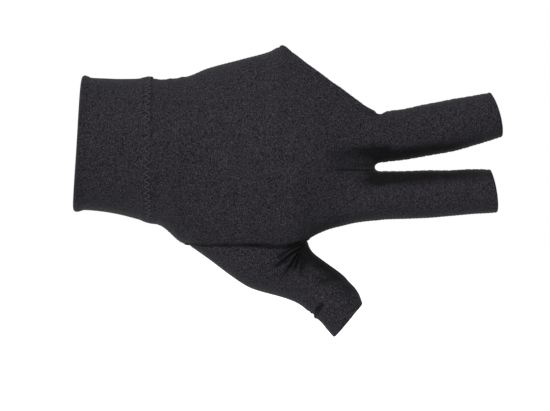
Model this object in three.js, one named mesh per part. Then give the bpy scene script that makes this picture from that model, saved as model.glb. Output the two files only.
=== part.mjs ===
// A three-finger billiard glove for the left hand, in the form that it has when it is worn.
// Units are millimetres. +X runs from the wrist to the fingertips, +Y from the back of the
// hand to the palm, and +Z from the thumb to the little finger. The origin is in the mouth
// of the cuff, on the middle line of the wrist.
import * as THREE from 'three';

// Lengths along the hand
const CUFF_LENGTH = 32.5;
const PALM_LENGTH = 103;
const MIDDLE_SLEEVE_LENGTH = 55.3;
const INDEX_SLEEVE_LENGTH = 54.2;

// Widths across the hand
const WRIST_WIDTH = 64.7;
const HAND_WIDTH = 90;
const SLEEVE_WIDTH = 22;

// Depths from back to palm
const WRIST_DEPTH = 41;
const HAND_DEPTH = 31;
const SLEEVE_DEPTH = 20;

// Thumb: where its seam starts on the palm, how long the seam is, and the tube beyond it
const THUMB_SEAM_START = 17.5;
const THUMB_SEAM_LENGTH = 55.8;
const THUMB_LENGTH = 42;
const THUMB_DEPTH = 19;

// Opening for the ring and little fingers: from its corner on the outer side of the hand it
// runs past the crotch and a little way up the middle sleeve
const OPENING_START = 59.5;
const OPENING_RUNOUT = 5;

// Cloth and seams
const CLOTH = 1.2;
const CUFF_CLOTH = 2.2;
const HEM_DIAMETER = 2.2;
const SEAM_GAP = 0.35;
const MOUTH_SLANT = 3.6;
const CUFF_FOLD = 0.45;
const MIDDLE_END_BOW = 1.5;
const INDEX_END_BOW = 0.5;
const FOLD_DEPTH = 1.6;
const WEB_RADIUS = 5.5;

// How full a section is: 2 is an ellipse, more is squarer. The valley between the fingers
// runs over so many web radii, an end's bow gathers towards the end by this power, and a
// fold is blunter towards its ends the smaller its taper.
const SECTION_FULLNESS = 2.25;
const VALLEY_RUN = 4;
const END_POWER = 4;
const FOLD_TAPER = 0.7;

// Cloth cells across half a panel and along it, and the closer ones where an edge turns
const CELLS_ACROSS = 9;
const CELLS_ON_HAND = 28;
const CELLS_ON_SLEEVE = 11;
const HEM_SIDES = 8;
const TURN_STEPS = [0, 0.8, 2.2];
const WEB_STEPS = [0.4, 1.4];

const SEAM_X = CUFF_LENGTH;
const CROTCH_X = CUFF_LENGTH + PALM_LENGTH;
const THUMB_START_X = SEAM_X + THUMB_SEAM_START;
const THUMB_END_X = THUMB_START_X + THUMB_SEAM_LENGTH;
const OPENING_START_X = SEAM_X + OPENING_START;
const OPENING_END_X = CROTCH_X + OPENING_RUNOUT;

// The cuff. along is a share of its length, top and bottom are shares of the wrist's width,
// depth is a share of its depth, and proud is a share of the folded edge's thickness.
const CUFF_ROWS = [
  { along: 0.0, top: 0.472, bottom: 0.462, depth: 0.98, proud: 0.5 },
  { along: 0.03, top: 0.473, bottom: 0.458, depth: 0.985, proud: 1.0 },
  { along: 0.1, top: 0.471, bottom: 0.452, depth: 0.985, proud: 0.9 },
  { along: 0.14, top: 0.468, bottom: 0.453, depth: 0.98, proud: 0.0 },
  { along: 0.35, top: 0.463, bottom: 0.461, depth: 0.97, proud: 0.0 },
  { along: 0.6, top: 0.459, bottom: 0.481, depth: 0.97, proud: 0.0 },
  { along: 0.82, top: 0.46, bottom: 0.508, depth: 0.99, proud: 0.0 },
  { along: 1.0, top: 0.467, bottom: 0.533, depth: 1.0, proud: 0.0 },
];

// The hand. along is a share of the palm's length. grow goes from the wrist's sizes (0) to
// the hand's (1), and finger from there to the roots of the sleeves (1). top, bottom and
// split are shares of the width: the two side edges, and the line that runs to the crotch
// between the sleeves. middle, back, palm and arch are shares of the depth: the height of
// the middle surface, the cloth's height over it on each side, and how far both side edges
// bend towards the palm.
const HAND_ROWS = [
  { along: 0.0, grow: 0.0, finger: 0, top: 0.467, bottom: 0.533, split: 0.03,
    middle: 0.0, back: 0.5, palm: 0.5, arch: 0.0 },
  { along: 0.06, grow: 0.09, finger: 0, top: 0.441, bottom: 0.5405, split: 0.038,
    middle: 0.006, back: 0.495, palm: 0.5, arch: 0.012 },
  { along: 0.17, grow: 0.35, finger: 0, top: 0.419, bottom: 0.605, split: 0.055,
    middle: 0.02, back: 0.485, palm: 0.505, arch: 0.05 },
  { along: 0.267, grow: 0.65, finger: 0, top: 0.428, bottom: 0.555, split: 0.07,
    middle: 0.03, back: 0.5, palm: 0.525, arch: 0.09 },
  { along: 0.413, grow: 0.9, finger: 0, top: 0.444, bottom: 0.515, split: 0.09,
    middle: 0.03, back: 0.53, palm: 0.54, arch: 0.13 },
  { along: 0.539, grow: 1.0, finger: 0, top: 0.471, bottom: 0.509, split: 0.105,
    middle: 0.02, back: 0.53, palm: 0.5, arch: 0.14 },
  { along: 0.582, grow: 1.0, finger: 0, top: 0.493, bottom: 0.51, split: 0.111,
    middle: 0.015, back: 0.525, palm: 0.485, arch: 0.14 },
  { along: 0.636, grow: 1.0, finger: 0, top: 0.446, bottom: 0.5, split: 0.116,
    middle: 0.015, back: 0.515, palm: 0.465, arch: 0.13 },
  { along: 0.698, grow: 1.0, finger: 0, top: 0.386, bottom: 0.477, split: 0.12,
    middle: 0.02, back: 0.49, palm: 0.44, arch: 0.12 },
  { along: 0.7524, grow: 1.0, finger: 0, top: 0.339, bottom: 0.444, split: 0.121,
    middle: 0.03, back: 0.465, palm: 0.42, arch: 0.1 },
  { along: 0.803, grow: 1.0, finger: 0, top: 0.294, bottom: 0.421, split: 0.122,
    middle: 0.04, back: 0.44, palm: 0.405, arch: 0.08 },
  { along: 0.855, grow: 1.0, finger: 0, top: 0.252, bottom: 0.4056, split: 0.121,
    middle: 0.05, back: 0.41, palm: 0.39, arch: 0.05 },
  { along: 0.908, grow: 1.0, finger: 0.3, top: 0.2348, bottom: 0.397, split: 0.12,
    middle: 0.06, back: 0.39, palm: 0.375, arch: 0.04 },
  { along: 0.947, grow: 1.0, finger: 0.6, top: 0.221, bottom: 0.394, split: 0.118,
    middle: 0.065, back: 0.37, palm: 0.365, arch: 0.03 },
  { along: 1.0, grow: 1.0, finger: 1.0, top: 0.15, bottom: 0.38, split: 0.11,
    middle: 0.07, back: 0.34, palm: 0.34, arch: 0.0 },
];

// The sleeves. along is a share of the sleeve's length, centre a share of the hand's width,
// width and depth are shares of the sleeve's own, drop is the middle's height as a share of
// its depth, and slant is how much the edge leans.
const MIDDLE_ROWS = [
  { along: 0.0, centre: 0.0194, width: 1.059, depth: 1.05, drop: 0.11, slant: 0 },
  { along: 0.007, centre: 0.0244, width: 1.018, depth: 1.05, drop: 0.112, slant: 0 },
  { along: 0.025, centre: 0.03, width: 0.982, depth: 1.045, drop: 0.115, slant: 0 },
  { along: 0.055, centre: 0.035, width: 0.995, depth: 1.04, drop: 0.12, slant: 0 },
  { along: 0.09, centre: 0.0425, width: 1.038, depth: 1.035, drop: 0.13, slant: 0 },
  { along: 0.22, centre: 0.0525, width: 1.045, depth: 1.02, drop: 0.16, slant: 0 },
  { along: 0.41, centre: 0.075, width: 1.068, depth: 1.02, drop: 0.21, slant: 0 },
  { along: 0.61, centre: 0.0978, width: 1.064, depth: 1.0, drop: 0.26, slant: -0.07 },
  { along: 0.8, centre: 0.1248, width: 0.99, depth: 0.95, drop: 0.31, slant: -0.19 },
  { along: 0.93, centre: 0.1448, width: 0.935, depth: 0.92, drop: 0.345, slant: -0.26 },
  { along: 1.0, centre: 0.156, width: 0.908, depth: 0.9, drop: 0.36, slant: -0.274 },
];
const INDEX_ROWS = [
  { along: 0.0, centre: -0.2439, width: 1.095, depth: 1.05, drop: 0.11, slant: 0 },
  { along: 0.007, centre: -0.2489, width: 1.0545, depth: 1.05, drop: 0.112, slant: 0 },
  { along: 0.025, centre: -0.2533, width: 1.009, depth: 1.045, drop: 0.115, slant: 0 },
  { along: 0.1, centre: -0.2511, width: 0.991, depth: 1.03, drop: 0.13, slant: 0 },
  { along: 0.22, centre: -0.25, width: 0.982, depth: 1.01, drop: 0.16, slant: 0 },
  { along: 0.42, centre: -0.2456, width: 0.982, depth: 1.0, drop: 0.21, slant: 0 },
  { along: 0.62, centre: -0.2406, width: 0.941, depth: 0.98, drop: 0.26, slant: -0.04 },
  { along: 0.82, centre: -0.2322, width: 0.92, depth: 0.93, drop: 0.31, slant: -0.1 },
  { along: 0.95, centre: -0.23, width: 0.9, depth: 0.9, drop: 0.345, slant: -0.15 },
  { along: 1.0, centre: -0.2294, width: 0.877, depth: 0.89, drop: 0.36, slant: -0.16 },
];

// The free edge of the opening and the seam of the thumb: the square of the edge's height
// over the middle surface, as a share of the cloth's full height there.
const OPENING_EDGE_ROWS = [
  { along: 0.0, height: 0.0 },
  { along: 0.13, height: 0.25 },
  { along: 0.35, height: 0.52 },
  { along: 0.57, height: 0.72 },
  { along: 0.74, height: 0.76 },
  { along: 0.88, height: 0.5 },
  { along: 1.0, height: 0.0 },
];
const THUMB_EDGE_ROWS = [
  { along: 0.0, height: 0.0 },
  { along: 0.08, height: 0.28 },
  { along: 0.22, height: 0.52 },
  { along: 0.45, height: 0.66 },
  { along: 0.7, height: 0.58 },
  { along: 0.88, height: 0.38 },
  { along: 0.96, height: 0.2 },
  { along: 1.0, height: 0.0 },
];

// The thumb. along runs from its seam to its end. outX and outZ place the outer edge and inX
// and inZ the inner one, from the crotch of the thumb, as shares of its length, and seam is
// the share of the seam's whole run that the outer edge still has behind it. drop and depth
// are shares of its depth, and flare is how far the ring still follows the seam.
const THUMB_ROWS = [
  { along: 0.0, seam: 1, outX: -0.000, outZ: -0.001, inX: 0.0, inZ: 0.0,
    drop: 0.15, depth: 1.45, flare: 1.0 },
  { along: 0.12, seam: 0.8, outX: -0.016, outZ: -0.183, inX: 0.024, inZ: -0.088,
    drop: 0.2, depth: 1.4, flare: 0.7 },
  { along: 0.24, seam: 0.6, outX: -0.055, outZ: -0.362, inX: 0.067, inZ: -0.15,
    drop: 0.25, depth: 1.35, flare: 0.3 },
  { along: 0.36, seam: 0.42, outX: -0.068, outZ: -0.515, inX: 0.143, inZ: -0.214,
    drop: 0.3, depth: 1.26, flare: 0.08 },
  { along: 0.48, seam: 0.26, outX: -0.067, outZ: -0.585, inX: 0.231, inZ: -0.283,
    drop: 0.35, depth: 1.18, flare: 0.0 },
  { along: 0.6, seam: 0.12, outX: -0.062, outZ: -0.648, inX: 0.321, inZ: -0.35,
    drop: 0.4, depth: 1.12, flare: 0.0 },
  { along: 0.7, seam: 0.03, outX: -0.030, outZ: -0.727, inX: 0.395, inZ: -0.415,
    drop: 0.43, depth: 1.09, flare: 0.0 },
  { along: 0.735, seam: 0, outX: -0.012, outZ: -0.785, inX: 0.417, inZ: -0.442,
    drop: 0.44, depth: 1.09, flare: 0.0 },
  { along: 0.755, seam: 0, outX: 0.024, outZ: -0.790, inX: 0.429, inZ: -0.457,
    drop: 0.445, depth: 1.06, flare: 0.0 },
  { along: 0.775, seam: 0, outX: 0.046, outZ: -0.837, inX: 0.442, inZ: -0.472,
    drop: 0.45, depth: 1.08, flare: 0.0 },
  { along: 0.84, seam: 0, outX: 0.119, outZ: -0.888, inX: 0.488, inZ: -0.517,
    drop: 0.46, depth: 1.05, flare: 0.0 },
  { along: 0.92, seam: 0, outX: 0.190, outZ: -0.976, inX: 0.545, inZ: -0.603,
    drop: 0.48, depth: 1.02, flare: 0.0 },
  { along: 1.0, seam: 0, outX: 0.270, outZ: -1.067, inX: 0.576, inZ: -0.706,
    drop: 0.5, depth: 0.98, flare: 0.0 },
];
const THUMB_RINGS = [0, 0.03, 0.08, 0.15, 0.23, 0.31, 0.39, 0.47, 0.55, 0.63, 0.69, 0.735, 0.755, 0.775,
  0.83, 0.89, 0.95, 1];
const THUMB_END_LEAN = 0.12;
const CROTCH_FLARE = 0.55;

// Folds of the thumb's cloth. start and length are shares of the thumb's length, measured
// from the crotch, turn is the fold's direction in degrees, width is a share of the thumb's
// length and depth a share of the fold depth (below 0 it is a ridge).
const THUMB_FOLDS = [
  { start: 0.14, length: 0.42, turn: 222, width: 0.045, depth: 1.0 },
  { start: 0.12, length: 0.46, turn: 242, width: 0.045, depth: 1.0 },
  { start: 0.1, length: 0.34, turn: 232, width: 0.04, depth: -0.5 },
  { start: 0.1, length: 0.3, turn: 262, width: 0.05, depth: 0.7 },
  { start: 0.05, length: 0.45, turn: 285, width: 0.14, depth: 1.4 },
];

// Geometry helpers

const RIGHT_ANGLE = Math.PI / 2;

function mix(a, b, share) {
  return a + (b - a) * share;
}

function clamp01(value) {
  return Math.min(1, Math.max(0, value));
}

function signedPower(value, power) {
  return Math.sign(value) * Math.abs(value) ** power;
}

// A smooth curve through points [at, value] that never overshoots them.
function curveThrough(points) {
  const steps = points.slice(1).map((p, k) => p[0] - points[k][0]);
  const rises = steps.map((step, k) => (points[k + 1][1] - points[k][1]) / step);
  const slopes = points.map((_, k) => {
    if (k === 0) return rises[0];
    if (k === rises.length) return rises[k - 1];
    if (rises[k - 1] * rises[k] <= 0) return 0;
    const before = 2 * steps[k] + steps[k - 1];
    const after = steps[k] + 2 * steps[k - 1];
    return (before + after) / (before / rises[k - 1] + after / rises[k]);
  });
  return (at) => {
    let k = 0;
    while (k < steps.length - 1 && at > points[k + 1][0]) k += 1;
    const s = clamp01((at - points[k][0]) / steps[k]);
    const rest = 1 - s;
    return (1 + 2 * s) * rest * rest * points[k][1] + s * s * (3 - 2 * s) * points[k + 1][1]
      + s * rest * rest * steps[k] * slopes[k] - s * s * rest * steps[k] * slopes[k + 1];
  };
}

// One curve for each named column of a table of rows.
function curvesOf(rows, at, columns) {
  const curves = {};
  for (const [name, value] of Object.entries(columns)) {
    curves[name] = curveThrough(rows.map((row) => [at(row), value(row)]));
  }
  return curves;
}

function evenSteps(from, to, count) {
  return Array.from({ length: count }, (_, k) => mix(from, to, (k + 1) / count));
}

// Curves of the glove

const sleeveColumns = {
  centre: (row) => row.centre * HAND_WIDTH,
  width: (row) => row.width * SLEEVE_WIDTH,
  depth: (row) => row.depth * SLEEVE_DEPTH / 2,
  drop: (row) => row.drop * SLEEVE_DEPTH,
  slant: (row) => row.slant,
};
const SLEEVES = {
  upper: {
    length: MIDDLE_SLEEVE_LENGTH,
    bow: MIDDLE_END_BOW,
    ...curvesOf(MIDDLE_ROWS, (row) => row.along, sleeveColumns),
  },
  lower: {
    length: INDEX_SLEEVE_LENGTH,
    bow: INDEX_END_BOW,
    ...curvesOf(INDEX_ROWS, (row) => row.along, sleeveColumns),
  },
};

const rootTop = SLEEVES.upper.centre(0) + SLEEVES.upper.width(0) / 2;
const rootBottom = SLEEVES.lower.centre(0) - SLEEVES.lower.width(0) / 2;
const rootSplit = SLEEVES.upper.centre(0) - SLEEVES.upper.width(0) / 2;
const rootDepth = SLEEVES.upper.depth(0);
const rootDrop = SLEEVES.upper.drop(0);

const acrossHand = (row) => mix(WRIST_WIDTH, HAND_WIDTH, row.grow);
const throughHand = (row) => mix(WRIST_DEPTH, HAND_DEPTH, row.grow);
const hand = curvesOf(HAND_ROWS, (row) => SEAM_X + row.along * PALM_LENGTH, {
  top: (row) => mix(row.top * acrossHand(row), rootTop, row.finger),
  bottom: (row) => mix(-row.bottom * acrossHand(row), rootBottom, row.finger),
  split: (row) => mix(-row.split * acrossHand(row), rootSplit, row.finger),
  middle: (row) => mix(row.middle * throughHand(row), rootDrop, row.finger),
  back: (row) => mix(row.back * throughHand(row), rootDepth, row.finger),
  palm: (row) => mix(row.palm * throughHand(row), rootDepth, row.finger),
  arch: (row) => row.arch * throughHand(row),
});
const cuff = curvesOf(CUFF_ROWS, (row) => row.along, {
  top: (row) => row.top * WRIST_WIDTH + row.proud * CUFF_FOLD,
  bottom: (row) => -row.bottom * WRIST_WIDTH - row.proud * CUFF_FOLD,
  depth: (row) => row.depth * WRIST_DEPTH / 2 + row.proud * CUFF_FOLD,
});
const thumb = curvesOf(THUMB_ROWS, (row) => row.along, {
  seam: (row) => row.seam,
  outX: (row) => row.outX * THUMB_LENGTH,
  outZ: (row) => row.outZ * THUMB_LENGTH,
  inX: (row) => row.inX * THUMB_LENGTH,
  inZ: (row) => row.inZ * THUMB_LENGTH,
  drop: (row) => row.drop * THUMB_DEPTH,
  depth: (row) => row.depth * THUMB_DEPTH / 2,
  flare: (row) => row.flare,
});
const openingEdge = curvesOf(OPENING_EDGE_ROWS, (row) => row.along, { height: (row) => row.height });
const thumbEdge = curvesOf(THUMB_EDGE_ROWS, (row) => row.along, { height: (row) => row.height });

// Share of the cloth's height that a free edge has at x, 0 where the side is closed.
function openingHeight(x) {
  return Math.sqrt(openingEdge.height(
    clamp01((x - OPENING_START_X) / (OPENING_END_X - OPENING_START_X)),
  ));
}

function thumbHoleHeight(x) {
  return Math.sqrt(thumbEdge.height(clamp01((x - THUMB_START_X) / THUMB_SEAM_LENGTH)));
}

// How far the hand's one section has become two at x: the valley between the fingers
// deepens, and ends in a round web.
function webShare(x, fullHeight) {
  const before = CROTCH_X - x;
  const webHeight = WEB_RADIUS / fullHeight;
  if (before < WEB_RADIUS) {
    return 1 - webHeight * Math.sqrt(1 - (1 - before / WEB_RADIUS) ** 2);
  }
  const rise = clamp01((before - WEB_RADIUS) / (VALLEY_RUN * WEB_RADIUS));
  return (1 - webHeight) * (1 - rise) ** 2 * (1 + 2 * rise);
}

const widthPower = 2 / SECTION_FULLNESS;
const edgeAngle = (height) => Math.acos(clamp01(height) ** (1 / widthPower));
const reach = (angle) => signedPower(Math.sin(angle), widthPower);
const height = (angle) => Math.max(0, Math.cos(angle)) ** widthPower;

// A point of a section: half is upper (towards the little finger) or lower (towards the
// thumb), and a runs from the splitting line (0) to the side edge (1).
function sectionPoint(section, side, half, a) {
  const topAngle = edgeAngle(section.topEdge);
  const bottomAngle = -edgeAngle(section.bottomEdge);
  const span = reach(topAngle) - reach(bottomAngle);
  const splitShare = (section.split - section.bottom) / (section.top - section.bottom);
  const splitReach = reach(bottomAngle) + splitShare * span;
  const splitAngle = Math.asin(signedPower(splitReach, 1 / widthPower));
  const outerAngle = half === 'upper' ? topAngle : bottomAngle;
  const innerAngle = half === 'upper' ? -RIGHT_ANGLE : RIGHT_ANGLE;
  const outerEdge = half === 'upper' ? section.top : section.bottom;

  const whole = mix(splitAngle, outerAngle, a);
  const wholeZ = section.bottom + (reach(whole) - reach(bottomAngle)) / span
    * (section.top - section.bottom);
  const parted = mix(innerAngle, outerAngle, a);
  const partedShare = (reach(parted) - reach(innerAngle)) / (reach(outerAngle) - reach(innerAngle));
  const partedZ = mix(section.split, outerEdge, partedShare);

  const z = mix(wholeZ, partedZ, section.parting);
  const depth = side < 0 ? section.back : section.palm;
  const rise = mix(height(whole), height(parted), section.parting) * depth;
  const centre = (section.top + section.bottom) / 2;
  const offCentre = (z - centre) / ((section.top - section.bottom) / 2);
  return { y: section.middle + section.arch * offCentre * offCentre + side * rise, z };
}

function handSection(x) {
  const section = {
    top: hand.top(x),
    bottom: hand.bottom(x),
    split: hand.split(x),
    middle: hand.middle(x),
    back: hand.back(x),
    palm: hand.palm(x),
    arch: hand.arch(x),
    topEdge: openingHeight(x),
    bottomEdge: thumbHoleHeight(x),
    parting: 0,
  };
  section.parting = webShare(x, Math.min(section.back, section.palm));
  return section;
}

function handPoint(side, half, x, a) {
  const point = sectionPoint(handSection(x), side, half, a);
  return new THREE.Vector3(x, point.y, point.z);
}

function sleevePoint(side, half, along, a) {
  const sleeve = SLEEVES[half];
  const x = CROTCH_X + along * sleeve.length;
  const towards = half === 'upper' ? 1 : -1;
  const outerAngle = half === 'upper' ? edgeAngle(openingHeight(x)) : RIGHT_ANGLE;
  const angle = mix(-RIGHT_ANGLE, outerAngle, a);
  const share = (reach(angle) + 1) / (reach(outerAngle) + 1);
  const fromCentre = towards * (share - 0.5) * sleeve.width(along);
  const bow = sleeve.bow * (1 - (2 * share - 1) ** 2) * along ** END_POWER;
  return new THREE.Vector3(
    x + sleeve.slant(along) * fromCentre + bow,
    sleeve.drop(along) + side * sleeve.depth(along) * height(angle),
    sleeve.centre(along) + fromCentre,
  );
}

// Even steps, where each fixed place takes the room of the steps beside it.
function stepsWith(from, to, count, fixed) {
  const room = (to - from) / count / 2;
  const inside = [from, to, ...fixed].filter((at) => at >= from && at <= to);
  const free = evenSteps(from, to, count).filter((at) => inside.every((x) => Math.abs(at - x) > room));
  return [...new Set([...free, ...inside])].sort((a, b) => a - b);
}

// Stations along a panel, from the wrist seam to the crotch and on to the ends of the sleeves
const HAND_STATIONS = stepsWith(SEAM_X, CROTCH_X, CELLS_ON_HAND, [
  ...TURN_STEPS.map((step) => THUMB_START_X + step),
  ...TURN_STEPS.map((step) => THUMB_END_X - step),
  ...TURN_STEPS.map((step) => OPENING_START_X + step),
]);
const SLEEVE_STATIONS = stepsWith(0, 1, CELLS_ON_SLEEVE, [
  ...WEB_STEPS.map((step) => step / MIDDLE_SLEEVE_LENGTH),
  ...TURN_STEPS.map((step) => (OPENING_RUNOUT - step) / MIDDLE_SLEEVE_LENGTH),
]).slice(1);
const ACROSS = [0, ...evenSteps(0, 1, CELLS_ACROSS)];

function panelGrid(side, half) {
  return [
    ...HAND_STATIONS.map((x) => ACROSS.map((a) => handPoint(side, half, x, a))),
    ...SLEEVE_STATIONS.map((along) => ACROSS.map((a) => sleevePoint(side, half, along, a))),
  ];
}

// A ring of the cuff: the same places round the wrist as the panels' first station.
function cuffRing(along) {
  const section = {
    top: cuff.top(along),
    bottom: cuff.bottom(along),
    split: hand.split(SEAM_X),
    middle: hand.middle(SEAM_X),
    back: cuff.depth(along),
    palm: cuff.depth(along),
    arch: 0,
    topEdge: 0,
    bottomEdge: 0,
    parting: 0,
  };
  const width = section.top - section.bottom;
  return roundTheHand((side, half, a) => {
    const point = sectionPoint(section, side, half, a);
    const up = (point.z - section.bottom) / width;
    const lean = (1 - along) * MOUTH_SLANT * up * (2 - up);
    return new THREE.Vector3(along * SEAM_X + lean, point.y, point.z);
  });
}

// Once round the hand: over the back from the top edge down, and up again over the palm.
function roundTheHand(pointAt) {
  const outward = [...ACROSS].reverse();
  const back = [
    ...outward.map((a) => pointAt(-1, 'upper', a)),
    ...ACROSS.slice(1).map((a) => pointAt(-1, 'lower', a)),
  ];
  const palm = [
    ...outward.slice(1).map((a) => pointAt(1, 'lower', a)),
    ...ACROSS.slice(1).map((a) => pointAt(1, 'upper', a)),
  ];
  return [...back, ...palm];
}

// Rings of the thumb

const THUMB_STATIONS = HAND_STATIONS.filter((x) => x >= THUMB_START_X && x <= THUMB_END_X);
const crotch = handPoint(-1, 'lower', THUMB_END_X, 1);

// How deep the folds are at a place on the thumb.
function foldDepth(x, z) {
  let depth = 0;
  for (const fold of THUMB_FOLDS) {
    const turn = THREE.MathUtils.degToRad(fold.turn);
    const dx = x - crotch.x;
    const dz = z - crotch.z;
    const along = (dx * Math.cos(turn) + dz * Math.sin(turn)) / THUMB_LENGTH;
    const off = (dz * Math.cos(turn) - dx * Math.sin(turn)) / THUMB_LENGTH;
    const share = (along - fold.start) / fold.length;
    if (share > 0 && share < 1) {
      const taper = Math.sin(Math.PI * share) ** FOLD_TAPER;
      depth += fold.depth * FOLD_DEPTH * taper * Math.exp(-((off / fold.width) ** 2));
    }
  }
  return depth;
}

// The seam loop of the thumb, from its start over the back to the crotch and under the palm.
function thumbSeam() {
  const back = THUMB_STATIONS.map((x) => handPoint(-1, 'lower', x, 1));
  const palm = THUMB_STATIONS.map((x) => handPoint(1, 'lower', x, 1)).reverse();
  return [...back, ...palm.slice(1, -1)];
}

function thumbRing(seam, along) {
  const count = seam.length;
  const start = seam[0];
  const out = new THREE.Vector3().lerpVectors(crotch, start, thumb.seam(along))
    .add(new THREE.Vector3(thumb.outX(along), 0, thumb.outZ(along)));
  const inner = new THREE.Vector3(crotch.x + thumb.inX(along), 0, crotch.z + thumb.inZ(along));
  return seam.map((rim, k) => {
    const turn = 2 * Math.PI * k / count;
    const side = k <= count / 2 ? -1 : 1;
    const across = (1 - signedPower(Math.cos(turn), widthPower)) / 2;
    const seamAcross = (rim.x - start.x) / (crotch.x - start.x);
    const flare = thumb.flare(along * mix(1, CROTCH_FLARE, seamAcross));
    const sag = rim.z - mix(start.z, crotch.z, seamAcross);
    const place = new THREE.Vector3().lerpVectors(out, inner, mix(across, seamAcross, flare));
    const roundHeight = Math.abs(Math.sin(turn)) ** widthPower;
    const ringY = thumb.drop(along) + side * thumb.depth(along) * roundHeight;
    place.y = mix(ringY, rim.y, flare);
    place.z += sag * flare;
    const onSurface = roundHeight * (1 - flare);
    place.y -= side * foldDepth(place.x, place.z) * onSurface;
    if (side > 0) {
      place.x += THUMB_END_LEAN * THUMB_DEPTH * roundHeight * across * across * along ** END_POWER;
    }
    return place;
  });
}

// Cloth

// Triangles of a grid of points, or of a tube where each ring closes on itself.
function gridTriangles(grid, flip, closed) {
  const triangles = [];
  const across = grid[0].length;
  const cells = closed ? across : across - 1;
  for (let i = 0; i + 1 < grid.length; i += 1) {
    for (let j = 0; j < cells; j += 1) {
      const next = (j + 1) % across;
      const corners = [grid[i][j], grid[i + 1][j], grid[i + 1][next], grid[i][next]];
      const [p, q, r, s] = flip ? [...corners].reverse() : corners;
      triangles.push([p, q, r], [p, r, s]);
    }
  }
  return triangles;
}

const keyOf = (point) => `${point.x.toFixed(3)} ${point.y.toFixed(3)} ${point.z.toFixed(3)}`;

// Outward normals of the whole glove's skin, shared where two pieces meet at a seam.
function skinNormals(pieces) {
  const normals = new Map();
  for (const triangles of pieces) {
    for (const [p, q, r] of triangles) {
      const area = new THREE.Vector3().subVectors(q, p).cross(new THREE.Vector3().subVectors(r, p));
      for (const corner of [p, q, r]) {
        const key = keyOf(corner);
        if (!normals.has(key)) normals.set(key, new THREE.Vector3());
        normals.get(key).add(area);
      }
    }
  }
  for (const normal of normals.values()) normal.normalize();
  return normals;
}

// The border of a sheet: its edges, in the order in which their triangles run, and the way
// along the border at each of its points.
function borderOf(triangles) {
  const edges = new Map();
  for (const corners of triangles) {
    corners.forEach((corner, k) => {
      const next = corners[(k + 1) % 3];
      edges.set(`${keyOf(corner)}|${keyOf(next)}`, [corner, next]);
    });
  }
  const border = [...edges.entries()]
    .filter(([name]) => !edges.has(name.split('|').reverse().join('|')))
    .map(([, edge]) => edge);
  const ways = new Map(border.flat().map((corner) => [keyOf(corner), new THREE.Vector3()]));
  for (const [from, to] of border) {
    const way = new THREE.Vector3().subVectors(to, from).normalize();
    ways.get(keyOf(from)).add(way);
    ways.get(keyOf(to)).add(way);
  }
  return { edges: border, ways };
}

// A closed solid of cloth: the skin, its copy one wall further in, and a rim between them.
// Every border is drawn back by half of the seam's gap, square to the border and the normal.
// The rim's diagonals follow the names of the points, so both sides of a seam run alike.
function clothSolid(triangles, normals, wall) {
  const { edges, ways } = borderOf(triangles);
  const points = new Map();
  for (const corner of triangles.flat()) {
    const key = keyOf(corner);
    if (points.has(key)) continue;
    const outer = corner.clone();
    if (ways.has(key)) {
      const inward = new THREE.Vector3().crossVectors(normals.get(key), ways.get(key)).normalize();
      outer.addScaledVector(inward, SEAM_GAP / 2);
    }
    const inner = outer.clone().addScaledVector(normals.get(key), -wall);
    points.set(key, { index: points.size, outer, inner });
  }
  const count = points.size;
  const positions = new Float32Array(count * 6);
  for (const { index, outer, inner } of points.values()) {
    outer.toArray(positions, index * 3);
    inner.toArray(positions, (index + count) * 3);
  }
  const faces = [];
  for (const corners of triangles) {
    const [a, b, c] = corners.map((corner) => points.get(keyOf(corner)).index);
    faces.push(a, b, c, a + count, c + count, b + count);
  }
  for (const [from, to] of edges) {
    const a = points.get(keyOf(from)).index;
    const b = points.get(keyOf(to)).index;
    if (keyOf(from) < keyOf(to)) {
      faces.push(a, a + count, b + count, a, b + count, b);
    } else {
      faces.push(a, a + count, b, b, a + count, b + count);
    }
  }
  const geometry = new THREE.BufferGeometry();
  geometry.setAttribute('position', new THREE.BufferAttribute(positions, 3));
  geometry.setIndex(faces);
  geometry.computeVertexNormals();
  return geometry;
}

// The rolled hem: a round tube beside the free edges of both panels, one closed loop. It
// stands off further where the loop turns, so that its straight runs keep the seam's gap.
function hemSolid(loop, normals) {
  const radius = HEM_DIAMETER / 2;
  const count = loop.length;
  const middles = loop.map((corner) => corner.clone()
    .addScaledVector(normals.get(keyOf(corner)), -CLOTH / 2));
  const grid = middles.map((middle, k) => {
    const coming = new THREE.Vector3().subVectors(middle, middles[(k + count - 1) % count]).normalize();
    const going = new THREE.Vector3().subVectors(middles[(k + 1) % count], middle).normalize();
    const ahead = new THREE.Vector3().addVectors(coming, going).normalize();
    const out = normals.get(keyOf(loop[k])).clone();
    out.addScaledVector(ahead, -out.dot(ahead)).normalize();
    const intoOpening = new THREE.Vector3().crossVectors(out, ahead);
    const halfTurn = Math.sqrt((1 + coming.dot(going)) / 2);
    const centre = middle.clone().addScaledVector(intoOpening, (radius + SEAM_GAP) / halfTurn);
    return Array.from({ length: HEM_SIDES }, (_, j) => {
      const turn = 2 * Math.PI * j / HEM_SIDES;
      return centre.clone()
        .addScaledVector(out, radius * Math.cos(turn))
        .addScaledVector(intoOpening, radius * Math.sin(turn));
    });
  });
  const triangles = gridTriangles([...grid, grid[0]], false, true);
  const positions = new Float32Array(triangles.flat().flatMap((corner) => corner.toArray()));
  const geometry = new THREE.BufferGeometry();
  geometry.setAttribute('position', new THREE.BufferAttribute(positions, 3));
  geometry.computeVertexNormals();
  return geometry;
}

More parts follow.
